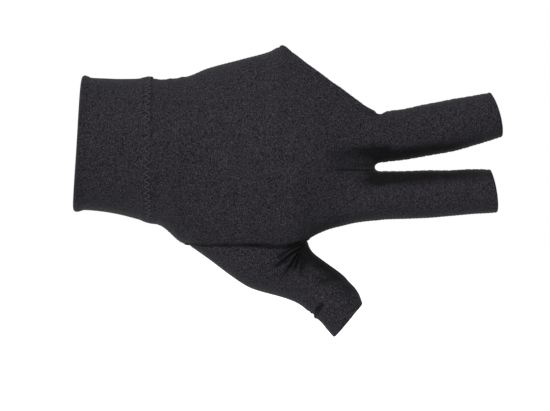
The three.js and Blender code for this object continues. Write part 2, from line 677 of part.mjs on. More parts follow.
// The free edge of the opening: out over the back and home over the palm.
function openingLoop() {
  const inHand = HAND_STATIONS.filter((x) => x >= OPENING_START_X);
  const inSleeve = SLEEVE_STATIONS.filter((along) => along <= OPENING_RUNOUT / MIDDLE_SLEEVE_LENGTH);
  const overSide = (side) => [
    ...inHand.map((x) => handPoint(side, 'upper', x, 1)),
    ...inSleeve.map((along) => sleevePoint(side, 'upper', along, 1)),
  ];
  const back = overSide(-1);
  const palm = overSide(1).reverse();
  return [...back, ...palm.slice(1, -1)];
}

// The glove

const seam = thumbSeam();
const backSkin = [
  ...gridTriangles(panelGrid(-1, 'upper'), false, false),
  ...gridTriangles(panelGrid(-1, 'lower'), true, false),
];
const palmSkin = [
  ...gridTriangles(panelGrid(1, 'upper'), true, false),
  ...gridTriangles(panelGrid(1, 'lower'), false, false),
];
const thumbSkin = gridTriangles(
  [seam, ...THUMB_RINGS.slice(1).map((along) => thumbRing(seam, along))],
  false,
  true,
);
const cuffSkin = gridTriangles(CUFF_ROWS.map((row) => cuffRing(row.along)), true, true);
const normals = skinNormals([backSkin, palmSkin, thumbSkin, cuffSkin]);

const knit = new THREE.MeshStandardMaterial({ color: 0x2f2d32, roughness: 0.85, metalness: 0 });
const doubledKnit = new THREE.MeshStandardMaterial({ color: 0x302e33, roughness: 0.85, metalness: 0 });
const hemThread = new THREE.MeshStandardMaterial({ color: 0x1c1b1e, roughness: 0.8, metalness: 0 });

const group = new THREE.Group();

function addPiece(name, geometry, material) {
  const mesh = new THREE.Mesh(geometry, material);
  mesh.name = name;
  group.add(mesh);
}

addPiece('cuff', clothSolid(cuffSkin, normals, CUFF_CLOTH), doubledKnit);
addPiece('back_panel', clothSolid(backSkin, normals, CLOTH), knit);
addPiece('palm_panel', clothSolid(palmSkin, normals, CLOTH), knit);
addPiece('thumb_sleeve', clothSolid(thumbSkin, normals, CLOTH), knit);
addPiece('opening_hem', hemSolid(openingLoop(), normals), hemThread);

export default group;
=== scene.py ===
"""A three-finger billiard glove in its worn form: knit cloth, doubled cuff, seams and stitches.

Shapes are worked out in millimetres, in the glove's own frame: +X from the wrist to the
fingertips, +Y from the back of the hand to the palm, +Z from the thumb to the little finger.
"""
from collections import namedtuple

import bpy
import numpy as np
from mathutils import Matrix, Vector


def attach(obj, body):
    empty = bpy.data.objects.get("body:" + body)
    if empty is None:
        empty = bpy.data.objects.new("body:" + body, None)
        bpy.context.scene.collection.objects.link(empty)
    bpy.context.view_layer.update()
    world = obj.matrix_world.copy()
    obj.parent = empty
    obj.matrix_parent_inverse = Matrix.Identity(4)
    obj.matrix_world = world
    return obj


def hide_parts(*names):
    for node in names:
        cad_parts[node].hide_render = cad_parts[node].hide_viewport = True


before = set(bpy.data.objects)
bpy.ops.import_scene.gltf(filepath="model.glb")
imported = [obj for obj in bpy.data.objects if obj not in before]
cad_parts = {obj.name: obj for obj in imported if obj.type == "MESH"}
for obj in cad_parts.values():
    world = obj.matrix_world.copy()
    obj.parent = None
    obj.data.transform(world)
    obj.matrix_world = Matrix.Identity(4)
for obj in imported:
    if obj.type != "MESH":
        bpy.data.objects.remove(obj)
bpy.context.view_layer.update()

MM = 0.001

# Lengths along the hand, widths across it and depths from back to palm
CUFF_LENGTH = 32.5
PALM_LENGTH = 103
MIDDLE_SLEEVE_LENGTH = 55.3
INDEX_SLEEVE_LENGTH = 54.2
WRIST_WIDTH = 64.7
HAND_WIDTH = 90
SLEEVE_WIDTH = 22
WRIST_DEPTH = 41
HAND_DEPTH = 31
SLEEVE_DEPTH = 20

# The thumb's seam on the palm, the tube beyond it, and the opening for the other fingers
THUMB_SEAM_START = 17.5
THUMB_SEAM_LENGTH = 55.8
THUMB_LENGTH = 42
THUMB_DEPTH = 19
OPENING_START = 59.5
OPENING_RUNOUT = 5

# Cloth: walls, how far two rims overlap in a seam, and how far rims bulge
CLOTH = 1.2
CUFF_CLOTH = 2.2
CUFF_LAYER = 1.0
SEAM_LAP = 0.06
SEAM_ROUND = 0.3
WRIST_SEAM_ROUND = 0.02
EDGE_ROUND = 0.5
RIM_STEPS = 4

# Forms: the cuff's slanting mouth and its folded edge, the bows of the sleeves' ends, the
# gathers, the web, and the run over which the fingers' forms rise
MOUTH_SLANT = 3.6
CUFF_FOLD = 0.45
FOLD_ROOM = 3
FOLD_STEPS = 9
MIDDLE_END_BOW = 0.9
INDEX_END_BOW = 0.5
FOLD_DEPTH = 1.6
WEB_RADIUS = 5.5
FINGER_RUN = 28

# How full a section is, how long the valley between the fingers is in web radii, how an
# end's bow gathers towards the end, how blunt a fold's ends are, how the thumb's end leans
# and its flare changes towards the crotch, and the rounds of smoothing
SECTION_FULLNESS = 2.25
VALLEY_RUN = 4
END_POWER = 4
FOLD_TAPER = 0.7
THUMB_END_LEAN = 0.12
CROTCH_FLARE = 0.55
RELAX_ROUNDS = 30

# Relief: the ridge round the wrist, the groove of the thumb's seam, how a crease starts and
# fades, where creases reach the outline, and the puckers beside the gap between the sleeves
WRIST_RIDGE = 0.4
WRIST_RIDGE_X = 33.4
WRIST_RIDGE_HALF = 2.9
SEAM_GROOVE = 0.55
SEAM_GROOVE_WIDTH = 0.8
CREASE_START = 0.1
CREASE_FADE = 0.7
OUTLINE_X = 60
OUTLINE_Z = -64
OUTLINE_FADE = 4
OUTLINE_REACH = 0.6
PUCKER = 0.06
PUCKER_PITCH = 3.4
PUCKER_MIX = 1.62
PUCKER_SECOND = 0.5
PUCKER_SPREAD = 1.6
PUCKER_START = 4
PUCKER_Z = -20

# The zigzag of the wrist seam: its swing, how sharp its turns are, and how the thread dips
# into the cloth there
ZIGZAG_PITCH = 1.35
ZIGZAG_HALF = 1.25
ZIGZAG_SHIFT = 1.6
ZIGZAG_THREAD = 0.14
ZIGZAG_STEPS = 8
ZIGZAG_SHARP = 0.96
ZIGZAG_LIFT = 0.08
ZIGZAG_DIP = 0.2
ZIGZAG_TURN = 6

# The rolled hem: how deep it is sunk, its thin ends, its sharpest mitre and its swell
HEM_DIAMETER = 2.4
HEM_SINK = 0.25
HEM_THIN = 0.35
HEM_RUNOUT = 6
HEM_MITRE = 0.97
HEM_SWELL = 0.03
HEM_PITCH = 2.4
HEM_SIDES = 20

# Threads: stitches as spacing, half width across the seam, lift over the cloth and radius,
# and a near-black cord laid in the crease behind the web as its painted shadow line
THREAD_SIDES = 6
THREAD_STEPS = 7
THREAD_BLUNT = 6
THREAD_TIP = 0.02
STITCH_SLANT = 0.35
THUMB_STITCH = (1.35, 0.55, 0.05, 0.2)
SLEEVE_STITCH = (1.7, 0.6, -0.13, 0.14)
SIDE_STITCH = (1.7, 0.5, -0.13, 0.14)
SHADOW_CORD_X = (117, 135.3)
SHADOW_CORD_Z = -11.2
SHADOW_CORD_STEPS = 40
SHADOW_CORD_REACH = 0.6
SHADOW_CORD_RADIUS = 0.36
SHARP_ANGLE = np.radians(70)

# Painted shade, from how much other cloth each point faces: faces in a disk, points worked
# out at a time, the range over which colours are painted darker and how much, what a
# millimetre of a crease adds, and the floor's light from below, which takes some of it off
DISK_FACES = 49
CHUNK = 2000
PAINTED_SHADE_RANGE = (0.006, 0.056)
PAINTED_SHADE_DARK = 0.8
CREASE_PAINTED_SHADE = 0.024
FLOOR_LIT_Z = -20
FLOOR_LIT_FADE = 6
FLOOR_BOUNCE = 0.85

# Knit: a loop's width and height and the sizes of blots in metres, how far loops are pulled
# about in their own sizes, the slant of a loop's arm and how light it stays, how strokes
# scale along each axis, and what each form adds to the lightness and to the height
LOOP = (0.0008, 0.00075)
HEM_LOOP = (0.0007, 0.0006)
PULL_SIZE = 0.004
PULL = (0.9, 0.7)
ARM_SLANT = 0.9
ARM_LIGHT = 0.4
STROKE = (1, 1, 0.6)
UNEVEN_SIZE = 0.00036
FLECK_SIZE = 0.00045
FLECK_RANGE = (0.55, 0.75)
TONE_SIZE = 0.03
FUZZ_SIZE = 0.0003
LIGHTNESS = {"base": 0.21, "yarn": 0.12, "uneven": 1.25, "fleck": 0.3, "tone": 0.1}
HEIGHT = {"yarn": 0.7, "uneven": 0.6, "fuzz": 0.3}
FIBRE_SIZE = 0.0004

# Colours: the darkest of every knit and the lightest of each, and both of each thread; the
# hem's lightest is the cloth's lifted a little, as painted light against the shade on its roll
KNIT_DARK = (0.002, 0.0015, 0.003)
KNIT_LIGHT = (0.07, 0.065, 0.0785)
CUFF_LIGHT = (0.066, 0.0613, 0.074)
HEM_LIGHT = (0.078, 0.073, 0.087)
BLACK_THREAD = (0.0005, 0.0005, 0.0006), (0.007, 0.0065, 0.0075)
SEAM_THREAD = (0.016, 0.015, 0.018), (0.1, 0.094, 0.109)

# The view and the floor in metres, and soft lights as name, place, diameter and watts
VIEW_CENTRE = (0.09045, 0.0, -0.02722)
VIEW_WIDTH = 0.2475
LENS = 135
CLIP_START = 0.01
FLOOR_Z = -0.13
FLOOR_HALF = 4
FLOOR_COLOUR = (0.9, 0.9, 0.9, 1)
FLOOR_GLOW = 0.85
ROOM_LIGHT = 0.5
LIGHTS = (
    ("key_light", (-0.35, -0.75, 1.0), 0.8, 9.3),
    ("low_light", (-0.6, -1.0, -0.12), 0.7, 8.6),
)

# The solids' own cells, how many finer ones each of them gets here, and the longest cell
# along the hand
CELLS_ACROSS = 9
CELLS_ON_HAND = 28
CELLS_ON_SLEEVE = 11
TURN_STEPS = (0, 0.8, 2.2)
WEB_STEPS = (0.11, 0.4, 0.8, 1.4)
THUMB_RINGS = (0, 0.03, 0.08, 0.15, 0.23, 0.31, 0.39, 0.47, 0.55, 0.63, 0.69, 0.735, 0.755,
               0.775, 0.83, 0.89, 0.95, 1)
FINER = 7
CUFF_FINER = 6
STATION = 0.55

SEAM_X = CUFF_LENGTH
CROTCH_X = CUFF_LENGTH + PALM_LENGTH
THUMB_START_X = SEAM_X + THUMB_SEAM_START
THUMB_END_X = THUMB_START_X + THUMB_SEAM_LENGTH
OPENING_START_X = SEAM_X + OPENING_START
OPENING_END_X = CROTCH_X + OPENING_RUNOUT


def table(columns, *rows):
    """Named columns of numbers, from rows."""
    return dict(zip(columns.split(), np.array(rows, float).T))


# The cuff: shares of its length, of the wrist's width and depth, and of the folded edge
CUFF = table(
    "along top bottom depth proud",
    (0, 0.472, 0.462, 0.98, 0.5),
    (0.03, 0.473, 0.458, 0.985, 1),
    (0.1, 0.471, 0.452, 0.985, 0.9),
    (0.14, 0.468, 0.453, 0.98, 0),
    (0.35, 0.463, 0.461, 0.97, 0),
    (0.6, 0.459, 0.481, 0.97, 0),
    (0.82, 0.46, 0.508, 0.99, 0),
    (1, 0.467, 0.533, 1, 0),
)

# The hand: along is a share of the palm's length, grow goes from the wrist's sizes to the
# hand's and finger from there to the sleeves' roots, the rest are shares of width and depth
HAND = table(
    "along grow finger top bottom split middle back palm arch",
    (0, 0, 0, 0.467, 0.533, 0.03, 0, 0.5, 0.5, 0),
    (0.06, 0.09, 0, 0.441, 0.5405, 0.038, 0.006, 0.495, 0.5, 0.012),
    (0.17, 0.35, 0, 0.419, 0.605, 0.055, 0.02, 0.485, 0.505, 0.05),
    (0.267, 0.65, 0, 0.428, 0.555, 0.07, 0.03, 0.5, 0.525, 0.09),
    (0.413, 0.9, 0, 0.444, 0.515, 0.09, 0.03, 0.53, 0.54, 0.13),
    (0.539, 1, 0, 0.471, 0.509, 0.105, 0.02, 0.53, 0.5, 0.14),
    (0.582, 1, 0, 0.493, 0.51, 0.111, 0.015, 0.525, 0.485, 0.14),
    (0.636, 1, 0, 0.446, 0.5, 0.116, 0.015, 0.515, 0.465, 0.13),
    (0.698, 1, 0, 0.386, 0.477, 0.12, 0.02, 0.49, 0.44, 0.12),
    (0.7524, 1, 0, 0.339, 0.444, 0.121, 0.03, 0.465, 0.42, 0.1),
    (0.803, 1, 0, 0.294, 0.421, 0.122, 0.04, 0.44, 0.405, 0.08),
    (0.855, 1, 0, 0.252, 0.4056, 0.121, 0.05, 0.41, 0.39, 0.05),
    (0.908, 1, 0.3, 0.2348, 0.397, 0.12, 0.06, 0.39, 0.375, 0.04),
    (0.947, 1, 0.6, 0.221, 0.394, 0.118, 0.065, 0.37, 0.365, 0.03),
    (1, 1, 1, 0.15, 0.38, 0.11, 0.07, 0.34, 0.34, 0),
)

# The sleeves: shares of the sleeve's length, of the hand's width (centre) and of the
# sleeve's own width and depth, and how much the edge leans
MIDDLE = table(
    "along centre width depth drop slant",
    (0, 0.0194, 1.059, 1.05, 0.11, 0),
    (0.002, 0.0229, 1.0305, 1.05, 0.11, 0),
    (0.007, 0.0257, 1.0075, 1.05, 0.112, 0),
    (0.014, 0.0279, 0.992, 1.05, 0.113, 0),
    (0.025, 0.03, 0.982, 1.045, 0.115, 0),
    (0.055, 0.035, 0.995, 1.04, 0.12, 0),
    (0.09, 0.0425, 1.038, 1.035, 0.13, 0),
    (0.22, 0.0525, 1.045, 1.02, 0.16, 0),
    (0.41, 0.075, 1.068, 1.02, 0.21, 0),
    (0.61, 0.0978, 1.064, 1, 0.26, -0.07),
    (0.8, 0.1248, 0.99, 0.95, 0.31, -0.19),
    (0.93, 0.1448, 0.935, 0.92, 0.345, -0.26),
    (1, 0.156, 0.908, 0.9, 0.36, -0.274),
)
INDEX = table(
    "along centre width depth drop slant",
    (0, -0.2439, 1.095, 1.05, 0.11, 0),
    (0.002, -0.2474, 1.067, 1.05, 0.11, 0),
    (0.007, -0.2502, 1.044, 1.05, 0.112, 0),
    (0.014, -0.2521, 1.026, 1.05, 0.113, 0),
    (0.025, -0.2533, 1.009, 1.045, 0.115, 0),
    (0.1, -0.2511, 0.991, 1.03, 0.13, 0),
    (0.22, -0.25, 0.982, 1.01, 0.16, 0),
    (0.42, -0.2456, 0.982, 1, 0.21, 0),
    (0.62, -0.2406, 0.941, 0.98, 0.26, -0.04),
    (0.82, -0.2322, 0.92, 0.93, 0.31, -0.1),
    (0.95, -0.23, 0.9, 0.9, 0.345, -0.15),
    (1, -0.2294, 0.877, 0.89, 0.36, -0.16),
)

# The squared height of a free edge over the middle surface, along the opening and the
# thumb's seam
OPENING_EDGE = table(
    "along height",
    (0, 0), (0.13, 0.25), (0.35, 0.52), (0.57, 0.72), (0.74, 0.76), (0.88, 0.5), (1, 0),
)
THUMB_EDGE = table(
    "along height",
    (0, 0), (0.08, 0.28), (0.22, 0.52), (0.45, 0.66), (0.7, 0.58), (0.88, 0.38),
    (0.96, 0.2), (1, 0),
)

# The thumb: its outer and inner edge from the crotch in shares of its length, the share of
# the seam still behind the outer edge, drop and depth, and how far the ring follows the seam
THUMB = table(
    "along seam out_x out_z in_x in_z drop depth flare",
    (0, 1, 0, 0, 0, 0, 0.15, 1.45, 1),
    (0.12, 0.8, -0.016, -0.183, 0.024, -0.088, 0.2, 1.4, 0.7),
    (0.24, 0.6, -0.055, -0.362, 0.067, -0.15, 0.25, 1.35, 0.3),
    (0.36, 0.42, -0.068, -0.515, 0.143, -0.214, 0.3, 1.26, 0.08),
    (0.48, 0.26, -0.067, -0.585, 0.231, -0.283, 0.35, 1.18, 0),
    (0.6, 0.12, -0.062, -0.648, 0.321, -0.35, 0.4, 1.12, 0),
    (0.7, 0.03, -0.03, -0.727, 0.395, -0.415, 0.43, 1.09, 0),
    (0.735, 0, -0.012, -0.785, 0.417, -0.442, 0.44, 1.09, 0),
    (0.755, 0, 0.024, -0.79, 0.429, -0.457, 0.445, 1.06, 0),
    (0.775, 0, 0.046, -0.837, 0.442, -0.472, 0.45, 1.08, 0),
    (0.84, 0, 0.119, -0.888, 0.488, -0.517, 0.46, 1.05, 0),
    (0.92, 0, 0.19, -0.976, 0.545, -0.603, 0.48, 1.02, 0),
    (1, 0, 0.27, -1.067, 0.576, -0.706, 0.5, 0.98, 0),
)

# Gathers of the thumb's cloth, from the crotch: start, length and width are shares of the
# thumb's length, turn is a direction in degrees, depth a share of the fold depth
FOLDS = table(
    "start length turn width depth",
    (0.14, 0.42, 222, 0.045, 1),
    (0.12, 0.46, 242, 0.045, 1),
    (0.1, 0.34, 232, 0.04, -0.5),
    (0.1, 0.3, 262, 0.05, 0.7),
    (0.05, 0.45, 285, 0.14, 1.4),
)

# Creases of the back of the hand: the end where one is deepest and the end where it fades,
# its width and its height (a crease below 0, a ridge above)
CREASES = table(
    "x0 z0 x1 z1 width height",
    (43.5, 34, 43, 27, 1, 0.9),
    (48.8, 35, 48.2, 28, 1, 1),
    (36.9, 32, 38.6, 19, 0.8, 0.3),
    (38.4, -13, 37.8, -30, 0.8, -0.5),
    (137, -11.2, 114, -11.2, 0.8, -0.8),
    (142, -6.5, 113, -4, 4.2, -2.2),
    (140, -14, 124, -15.5, 2.5, -1),
    (103.2, -43.4, 92, -47.4, 0.5, -1.2),
    (103.7, -44, 91, -50.4, 0.55, -2.2),
    (102.6, -44.9, 90, -52.4, 0.45, 1.5),
    (102.8, -45.4, 88.2, -56, 0.6, -2.8),
    (101.8, -46.6, 92, -57.4, 0.5, 1.4),
    (102.4, -46, 92.6, -61.6, 0.65, -2.8),
    (103.2, -45.2, 96.4, -57.4, 0.5, 1.8),
    (103.9, -44.4, 98.4, -58, 0.75, -2.8),
    (104.5, -44.4, 100.8, -54, 0.5, 1.6),
    (105, -42.7, 101.8, -61, 1.6, -2),
    (111.4, -70.4, 107.8, -76, 0.7, -0.6),
    (104.5, -79, 111, -70.5, 0.6, 0.9),
    (106, -79, 112, -70.5, 0.5, -0.9),
    (107, -80.5, 113, -72, 0.6, 0.8),
)


def mix(a, b, share):
    """A straight blend, a at share 0 and b at share 1."""
    return a + (b - a) * share


def signed_power(value, power):
    """A power of the value's size, with the value's own sign."""
    return np.sign(value) * np.abs(value) ** power


def bell(offset):
    """A bell that is 1 in the middle: e to the power of minus the offset squared."""
    return np.exp(-offset * offset)


def curve(at, values):
    """A smooth curve through the values that never overshoots them: a cubic between each
    pair of places, with the harmonic mean of the slopes on both sides where they agree."""
    steps = np.diff(at)
    rises = np.diff(values) / steps
    before = 2 * steps[1:] + steps[:-1]
    after = steps[1:] + 2 * steps[:-1]
    agree = rises[:-1] * rises[1:] > 0
    left = np.where(agree, rises[:-1], 1)
    right = np.where(agree, rises[1:], 1)
    slopes = np.concatenate([
        rises[:1],
        np.where(agree, (before + after) / (before / left + after / right), 0),
        rises[-1:],
    ])

    def value(x):
        """The cubic at x, where s is how far x is from one place to the next."""
        x = np.asarray(x, float)
        k = np.clip(np.searchsorted(at, x) - 1, 0, len(steps) - 1)
        s = np.clip((x - at[k]) / steps[k], 0, 1)
        rest = 1 - s
        return (
            (1 + 2 * s) * rest ** 2 * values[k]
            + s ** 2 * (3 - 2 * s) * values[k + 1]
            + s * rest ** 2 * steps[k] * slopes[k]
            - s ** 2 * rest * steps[k] * slopes[k + 1]
        )

    return value


def curves(at, **columns):
    """One curve for each named column over the same places."""
    return {name: curve(at, values) for name, values in columns.items()}


def scaled_curves(rows, **sizes):
    """One curve for each named column of a table, whose shares are of these sizes."""
    return curves(rows["along"], **{name: rows[name] * size for name, size in sizes.items()})


def sleeve_curves(rows, length, bow):
    """A sleeve's length, its end's bow, and one curve for each column of its table."""
    return {"length": length, "bow": bow, **scaled_curves(
        rows, centre=HAND_WIDTH, width=SLEEVE_WIDTH, depth=SLEEVE_DEPTH / 2,
        drop=SLEEVE_DEPTH, slant=1)}


SLEEVES = {
    "upper": sleeve_curves(MIDDLE, MIDDLE_SLEEVE_LENGTH, MIDDLE_END_BOW),
    "lower": sleeve_curves(INDEX, INDEX_SLEEVE_LENGTH, INDEX_END_BOW),
}


def hand_curves():
    """The hand's curves over x: each blends from the wrist's size to the hand's, and then
    to the roots of the two sleeves."""
    middle, index = SLEEVES["upper"], SLEEVES["lower"]
    width = mix(WRIST_WIDTH, HAND_WIDTH, HAND["grow"])
    depth = mix(WRIST_DEPTH, HAND_DEPTH, HAND["grow"])
    finger = HAND["finger"]
    root_top = middle["centre"](0) + middle["width"](0) / 2
    root_bottom = index["centre"](0) - index["width"](0) / 2
    root_split = middle["centre"](0) - middle["width"](0) / 2
    root_depth = middle["depth"](0)
    return curves(
        SEAM_X + HAND["along"] * PALM_LENGTH,
        top=mix(HAND["top"] * width, root_top, finger),
        bottom=mix(-HAND["bottom"] * width, root_bottom, finger),
        split=mix(-HAND["split"] * width, root_split, finger),
        middle=mix(HAND["middle"] * depth, middle["drop"](0), finger),
        back=mix(HAND["back"] * depth, root_depth, finger),
        palm=mix(HAND["palm"] * depth, root_depth, finger),
        arch=HAND["arch"] * depth,
    )


hand = hand_curves()
cuff = curves(
    CUFF["along"],
    top=CUFF["top"] * WRIST_WIDTH + CUFF["proud"] * CUFF_FOLD,
    bottom=-CUFF["bottom"] * WRIST_WIDTH - CUFF["proud"] * CUFF_FOLD,
    depth=CUFF["depth"] * WRIST_DEPTH / 2 + CUFF["proud"] * CUFF_FOLD,
)
thumb = scaled_curves(
    THUMB, seam=1, out_x=THUMB_LENGTH, out_z=THUMB_LENGTH, in_x=THUMB_LENGTH,
    in_z=THUMB_LENGTH, drop=THUMB_DEPTH, depth=THUMB_DEPTH / 2, flare=1)
opening_edge = curve(OPENING_EDGE["along"], OPENING_EDGE["height"])
thumb_edge = curve(THUMB_EDGE["along"], THUMB_EDGE["height"])


def opening_height(x):
    """Share of the cloth's height at the opening's free edge, 0 where the side is closed."""
    return np.sqrt(opening_edge((x - OPENING_START_X) / (OPENING_END_X - OPENING_START_X)))


def thumb_hole_height(x):
    """The same share at the thumb's seam: the square root of its curve."""
    return np.sqrt(thumb_edge((x - THUMB_START_X) / THUMB_SEAM_LENGTH))


def web_share(x, full_height):
    """How far the hand's one section has become two: a valley that deepens as a smooth step
    over its run, and then a quarter circle of the web's radius."""
    before = CROTCH_X - x
    web_height = WEB_RADIUS / full_height
    round_part = np.clip(1 - before / WEB_RADIUS, 0, 1)
    in_web = 1 - web_height * np.sqrt(1 - round_part ** 2)
    rise = np.clip((before - WEB_RADIUS) / (VALLEY_RUN * WEB_RADIUS), 0, 1)
    in_valley = (1 - web_height) * (1 - rise) ** 2 * (1 + 2 * rise)
    return np.where(before < WEB_RADIUS, in_web, in_valley)


# Sections: a superellipse, so that z goes with the sine and the height with the cosine of
# an angle, both to this power
WIDTH_POWER = 2 / SECTION_FULLNESS
RIGHT_ANGLE = np.pi / 2


def edge_angle(height):
    """The angle whose rise is this share of the full height."""
    return np.arccos(np.clip(height, 0, 1) ** (1 / WIDTH_POWER))


def reach(angle):
    """How far a point lies from the section's middle along z: the sine to that power."""
    return signed_power(np.sin(angle), WIDTH_POWER)


def rise_of(angle):
    """How high a point lies as a share of the depth: the cosine to that power."""
    return np.maximum(0, np.cos(angle)) ** WIDTH_POWER


def section_point(section, side, half, a):
    """y and z of a section: half is upper or lower, and a runs from the splitting line (0)
    to the side edge (1). The point is a blend of one superellipse over the whole width and
    two that meet at the split, by the section's parting. Where the two are the higher, as
    over the fingers' middles, it goes by the earlier and slower finger share."""
    top_angle = edge_angle(section["top_edge"])
    bottom_angle = -edge_angle(section["bottom_edge"])
    top, bottom, split = section["top"], section["bottom"], section["split"]
    span = reach(top_angle) - reach(bottom_angle)
    split_reach = reach(bottom_angle) + (split - bottom) / (top - bottom) * span
    split_angle = np.arcsin(signed_power(split_reach, 1 / WIDTH_POWER))
    upper = half == "upper"
    outer_angle = top_angle if upper else bottom_angle
    inner_angle = -RIGHT_ANGLE if upper else RIGHT_ANGLE
    outer_edge = top if upper else bottom

    whole = mix(split_angle, outer_angle, a)
    whole_z = bottom + (reach(whole) - reach(bottom_angle)) / span * (top - bottom)
    parted = mix(inner_angle, outer_angle, a)
    parted_share = (reach(parted) - reach(inner_angle)) / (reach(outer_angle) - reach(inner_angle))
    parted_z = mix(split, outer_edge, parted_share)

    parting = section["parting"]
    z = mix(whole_z, parted_z, parting)
    depth = section["back"] if side < 0 else section["palm"]
    rise = rise_of(parted) - rise_of(whole)
    height = (rise_of(whole) + rise * np.where(rise > 0, section["finger"], parting)) * depth
    off_centre = (2 * z - top - bottom) / (top - bottom)
    return section["middle"] + section["arch"] * off_centre ** 2 + side * height, z


def hand_point(side, half, x, a):
    """A point of the hand's skin at x, x and a in arrays that broadcast."""
    section = {name: value(x) for name, value in hand.items()}
    section["top_edge"] = opening_height(x)
    section["bottom_edge"] = thumb_hole_height(x)
    section["parting"] = web_share(x, np.minimum(section["back"], section["palm"]))
    run = np.clip(1 - (CROTCH_X - x) / FINGER_RUN, 0, 1)
    section["finger"] = run ** 2 * (3 - 2 * run)
    y, z = section_point(section, side, half, a)
    return np.stack(np.broadcast_arrays(x, y, z), -1)


def sleeve_point(side, half, along, a):
    """A point of a sleeve: a superellipse about its own middle, whose rings lean by the
    slant and bow outwards at the end."""
    sleeve = SLEEVES[half]
    x = CROTCH_X + along * sleeve["length"]
    towards = 1 if half == "upper" else -1
    outer_angle = edge_angle(opening_height(x)) if half == "upper" else RIGHT_ANGLE
    angle = mix(-RIGHT_ANGLE, outer_angle, a)
    share = (reach(angle) + 1) / (reach(outer_angle) + 1)
    from_centre = towards * (share - 0.5) * sleeve["width"](along)
    bow = sleeve["bow"] * (1 - (2 * share - 1) ** 2) * along ** END_POWER
    return np.stack(np.broadcast_arrays(
        x + sleeve["slant"](along) * from_centre + bow,
        sleeve["drop"](along) + side * sleeve["depth"](along) * rise_of(angle),
        sleeve["centre"](along) + from_centre,
    ), -1)


def cuff_point(side, half, along, a):
    """A point of the cuff: the wrist's section, leaning back towards the mouth's top."""
    section = {
        "top": cuff["top"](along),
        "bottom": cuff["bottom"](along),
        "split": hand["split"](SEAM_X),
        "middle": hand["middle"](SEAM_X),
        "back": cuff["depth"](along),
        "palm": cuff["depth"](along),
        "arch": 0,
        "top_edge": 0,
        "bottom_edge": 0,
        "parting": 0,
        "finger": 0,
    }
    y, z = section_point(section, side, half, a)
    up = (z - section["bottom"]) / (section["top"] - section["bottom"])
    lean = (1 - along) * MOUTH_SLANT * up * (2 - up)
    return np.stack(np.broadcast_arrays(along * SEAM_X + lean, y, z), -1)


# Stations


def steps_with(start, end, count, fixed):
    """Even steps, where each fixed place takes the room of the steps beside it."""
    room = (end - start) / count / 2
    inside = [at for at in (start, end, *fixed) if start <= at <= end]
    even = np.linspace(start, end, count + 1)[1:]
    free = [at for at in even if all(abs(at - x) > room for x in inside)]
    return np.array(sorted({*free, *inside}))


def finer(places, count=FINER):
    """Each step between places cut into so many."""
    index = np.linspace(0, len(places) - 1, (len(places) - 1) * count + 1)
    return np.interp(index, np.arange(len(places)), places)


def cut(places, longest):
    """Each step between places cut into equal parts no longer than this."""
    parts = [
        np.linspace(start, end, int(np.ceil((end - start) / longest)) + 1)[1:]
        for start, end in zip(places, places[1:])
    ]
    return np.concatenate([places[:1], *parts])


COARSE_HAND = steps_with(SEAM_X, CROTCH_X, CELLS_ON_HAND, [
    *(THUMB_START_X + step for step in TURN_STEPS),
    *(THUMB_END_X - step for step in TURN_STEPS),
    *(OPENING_START_X + step for step in TURN_STEPS),
])
COARSE_SLEEVE = steps_with(0, 1, CELLS_ON_SLEEVE, [
    *(step / MIDDLE_SLEEVE_LENGTH for step in WEB_STEPS),
    *((OPENING_RUNOUT - step) / MIDDLE_SLEEVE_LENGTH for step in TURN_STEPS),
])
HAND_STATIONS = cut(COARSE_HAND, STATION)
SLEEVE_STATIONS = cut(COARSE_SLEEVE, STATION / MIDDLE_SLEEVE_LENGTH)[1:]
ACROSS = np.linspace(0, 1, CELLS_ACROSS * FINER + 1)
COARSE_THUMB = COARSE_HAND[(COARSE_HAND >= THUMB_START_X) & (COARSE_HAND <= THUMB_END_X)]
THUMB_STATIONS = cut(COARSE_THUMB, STATION)


def panel_grid(side, half):
    """Half a panel, first along the hand and then along its sleeve: each row of the grid runs
    from the splitting line to the side edge."""
    a = ACROSS[None, :]
    return np.concatenate([
        hand_point(side, half, HAND_STATIONS[:, None], a),
        sleeve_point(side, half, SLEEVE_STATIONS[:, None], a),
    ])


def round_the_hand(point_at):
    """Once round the hand: over the back from the top edge down, and up over the palm."""
    outward = ACROSS[::-1]
    return np.concatenate([
        point_at(-1, "upper", outward),
        point_at(-1, "lower", ACROSS[1:]),
        point_at(1, "lower", outward[1:]),
        point_at(1, "upper", ACROSS[1:-1]),
    ], axis=-2)


crotch = hand_point(-1, "lower", THUMB_END_X, 1.0)


def fold_depth(x, z):
    """How deep the gathers are: each is a bell across its line, with blunt tapered ends."""
    depth = 0
    for start, length, turn, width, share in zip(*FOLDS.values()):
        way = np.radians(turn)
        dx, dz = x - crotch[0], z - crotch[2]
        along = (dx * np.cos(way) + dz * np.sin(way)) / THUMB_LENGTH
        off = (dz * np.cos(way) - dx * np.sin(way)) / THUMB_LENGTH
        run = np.clip((along - start) / length, 0, 1)
        depth = depth + share * FOLD_DEPTH * np.sin(np.pi * run) ** FOLD_TAPER * bell(off / width)
    return depth


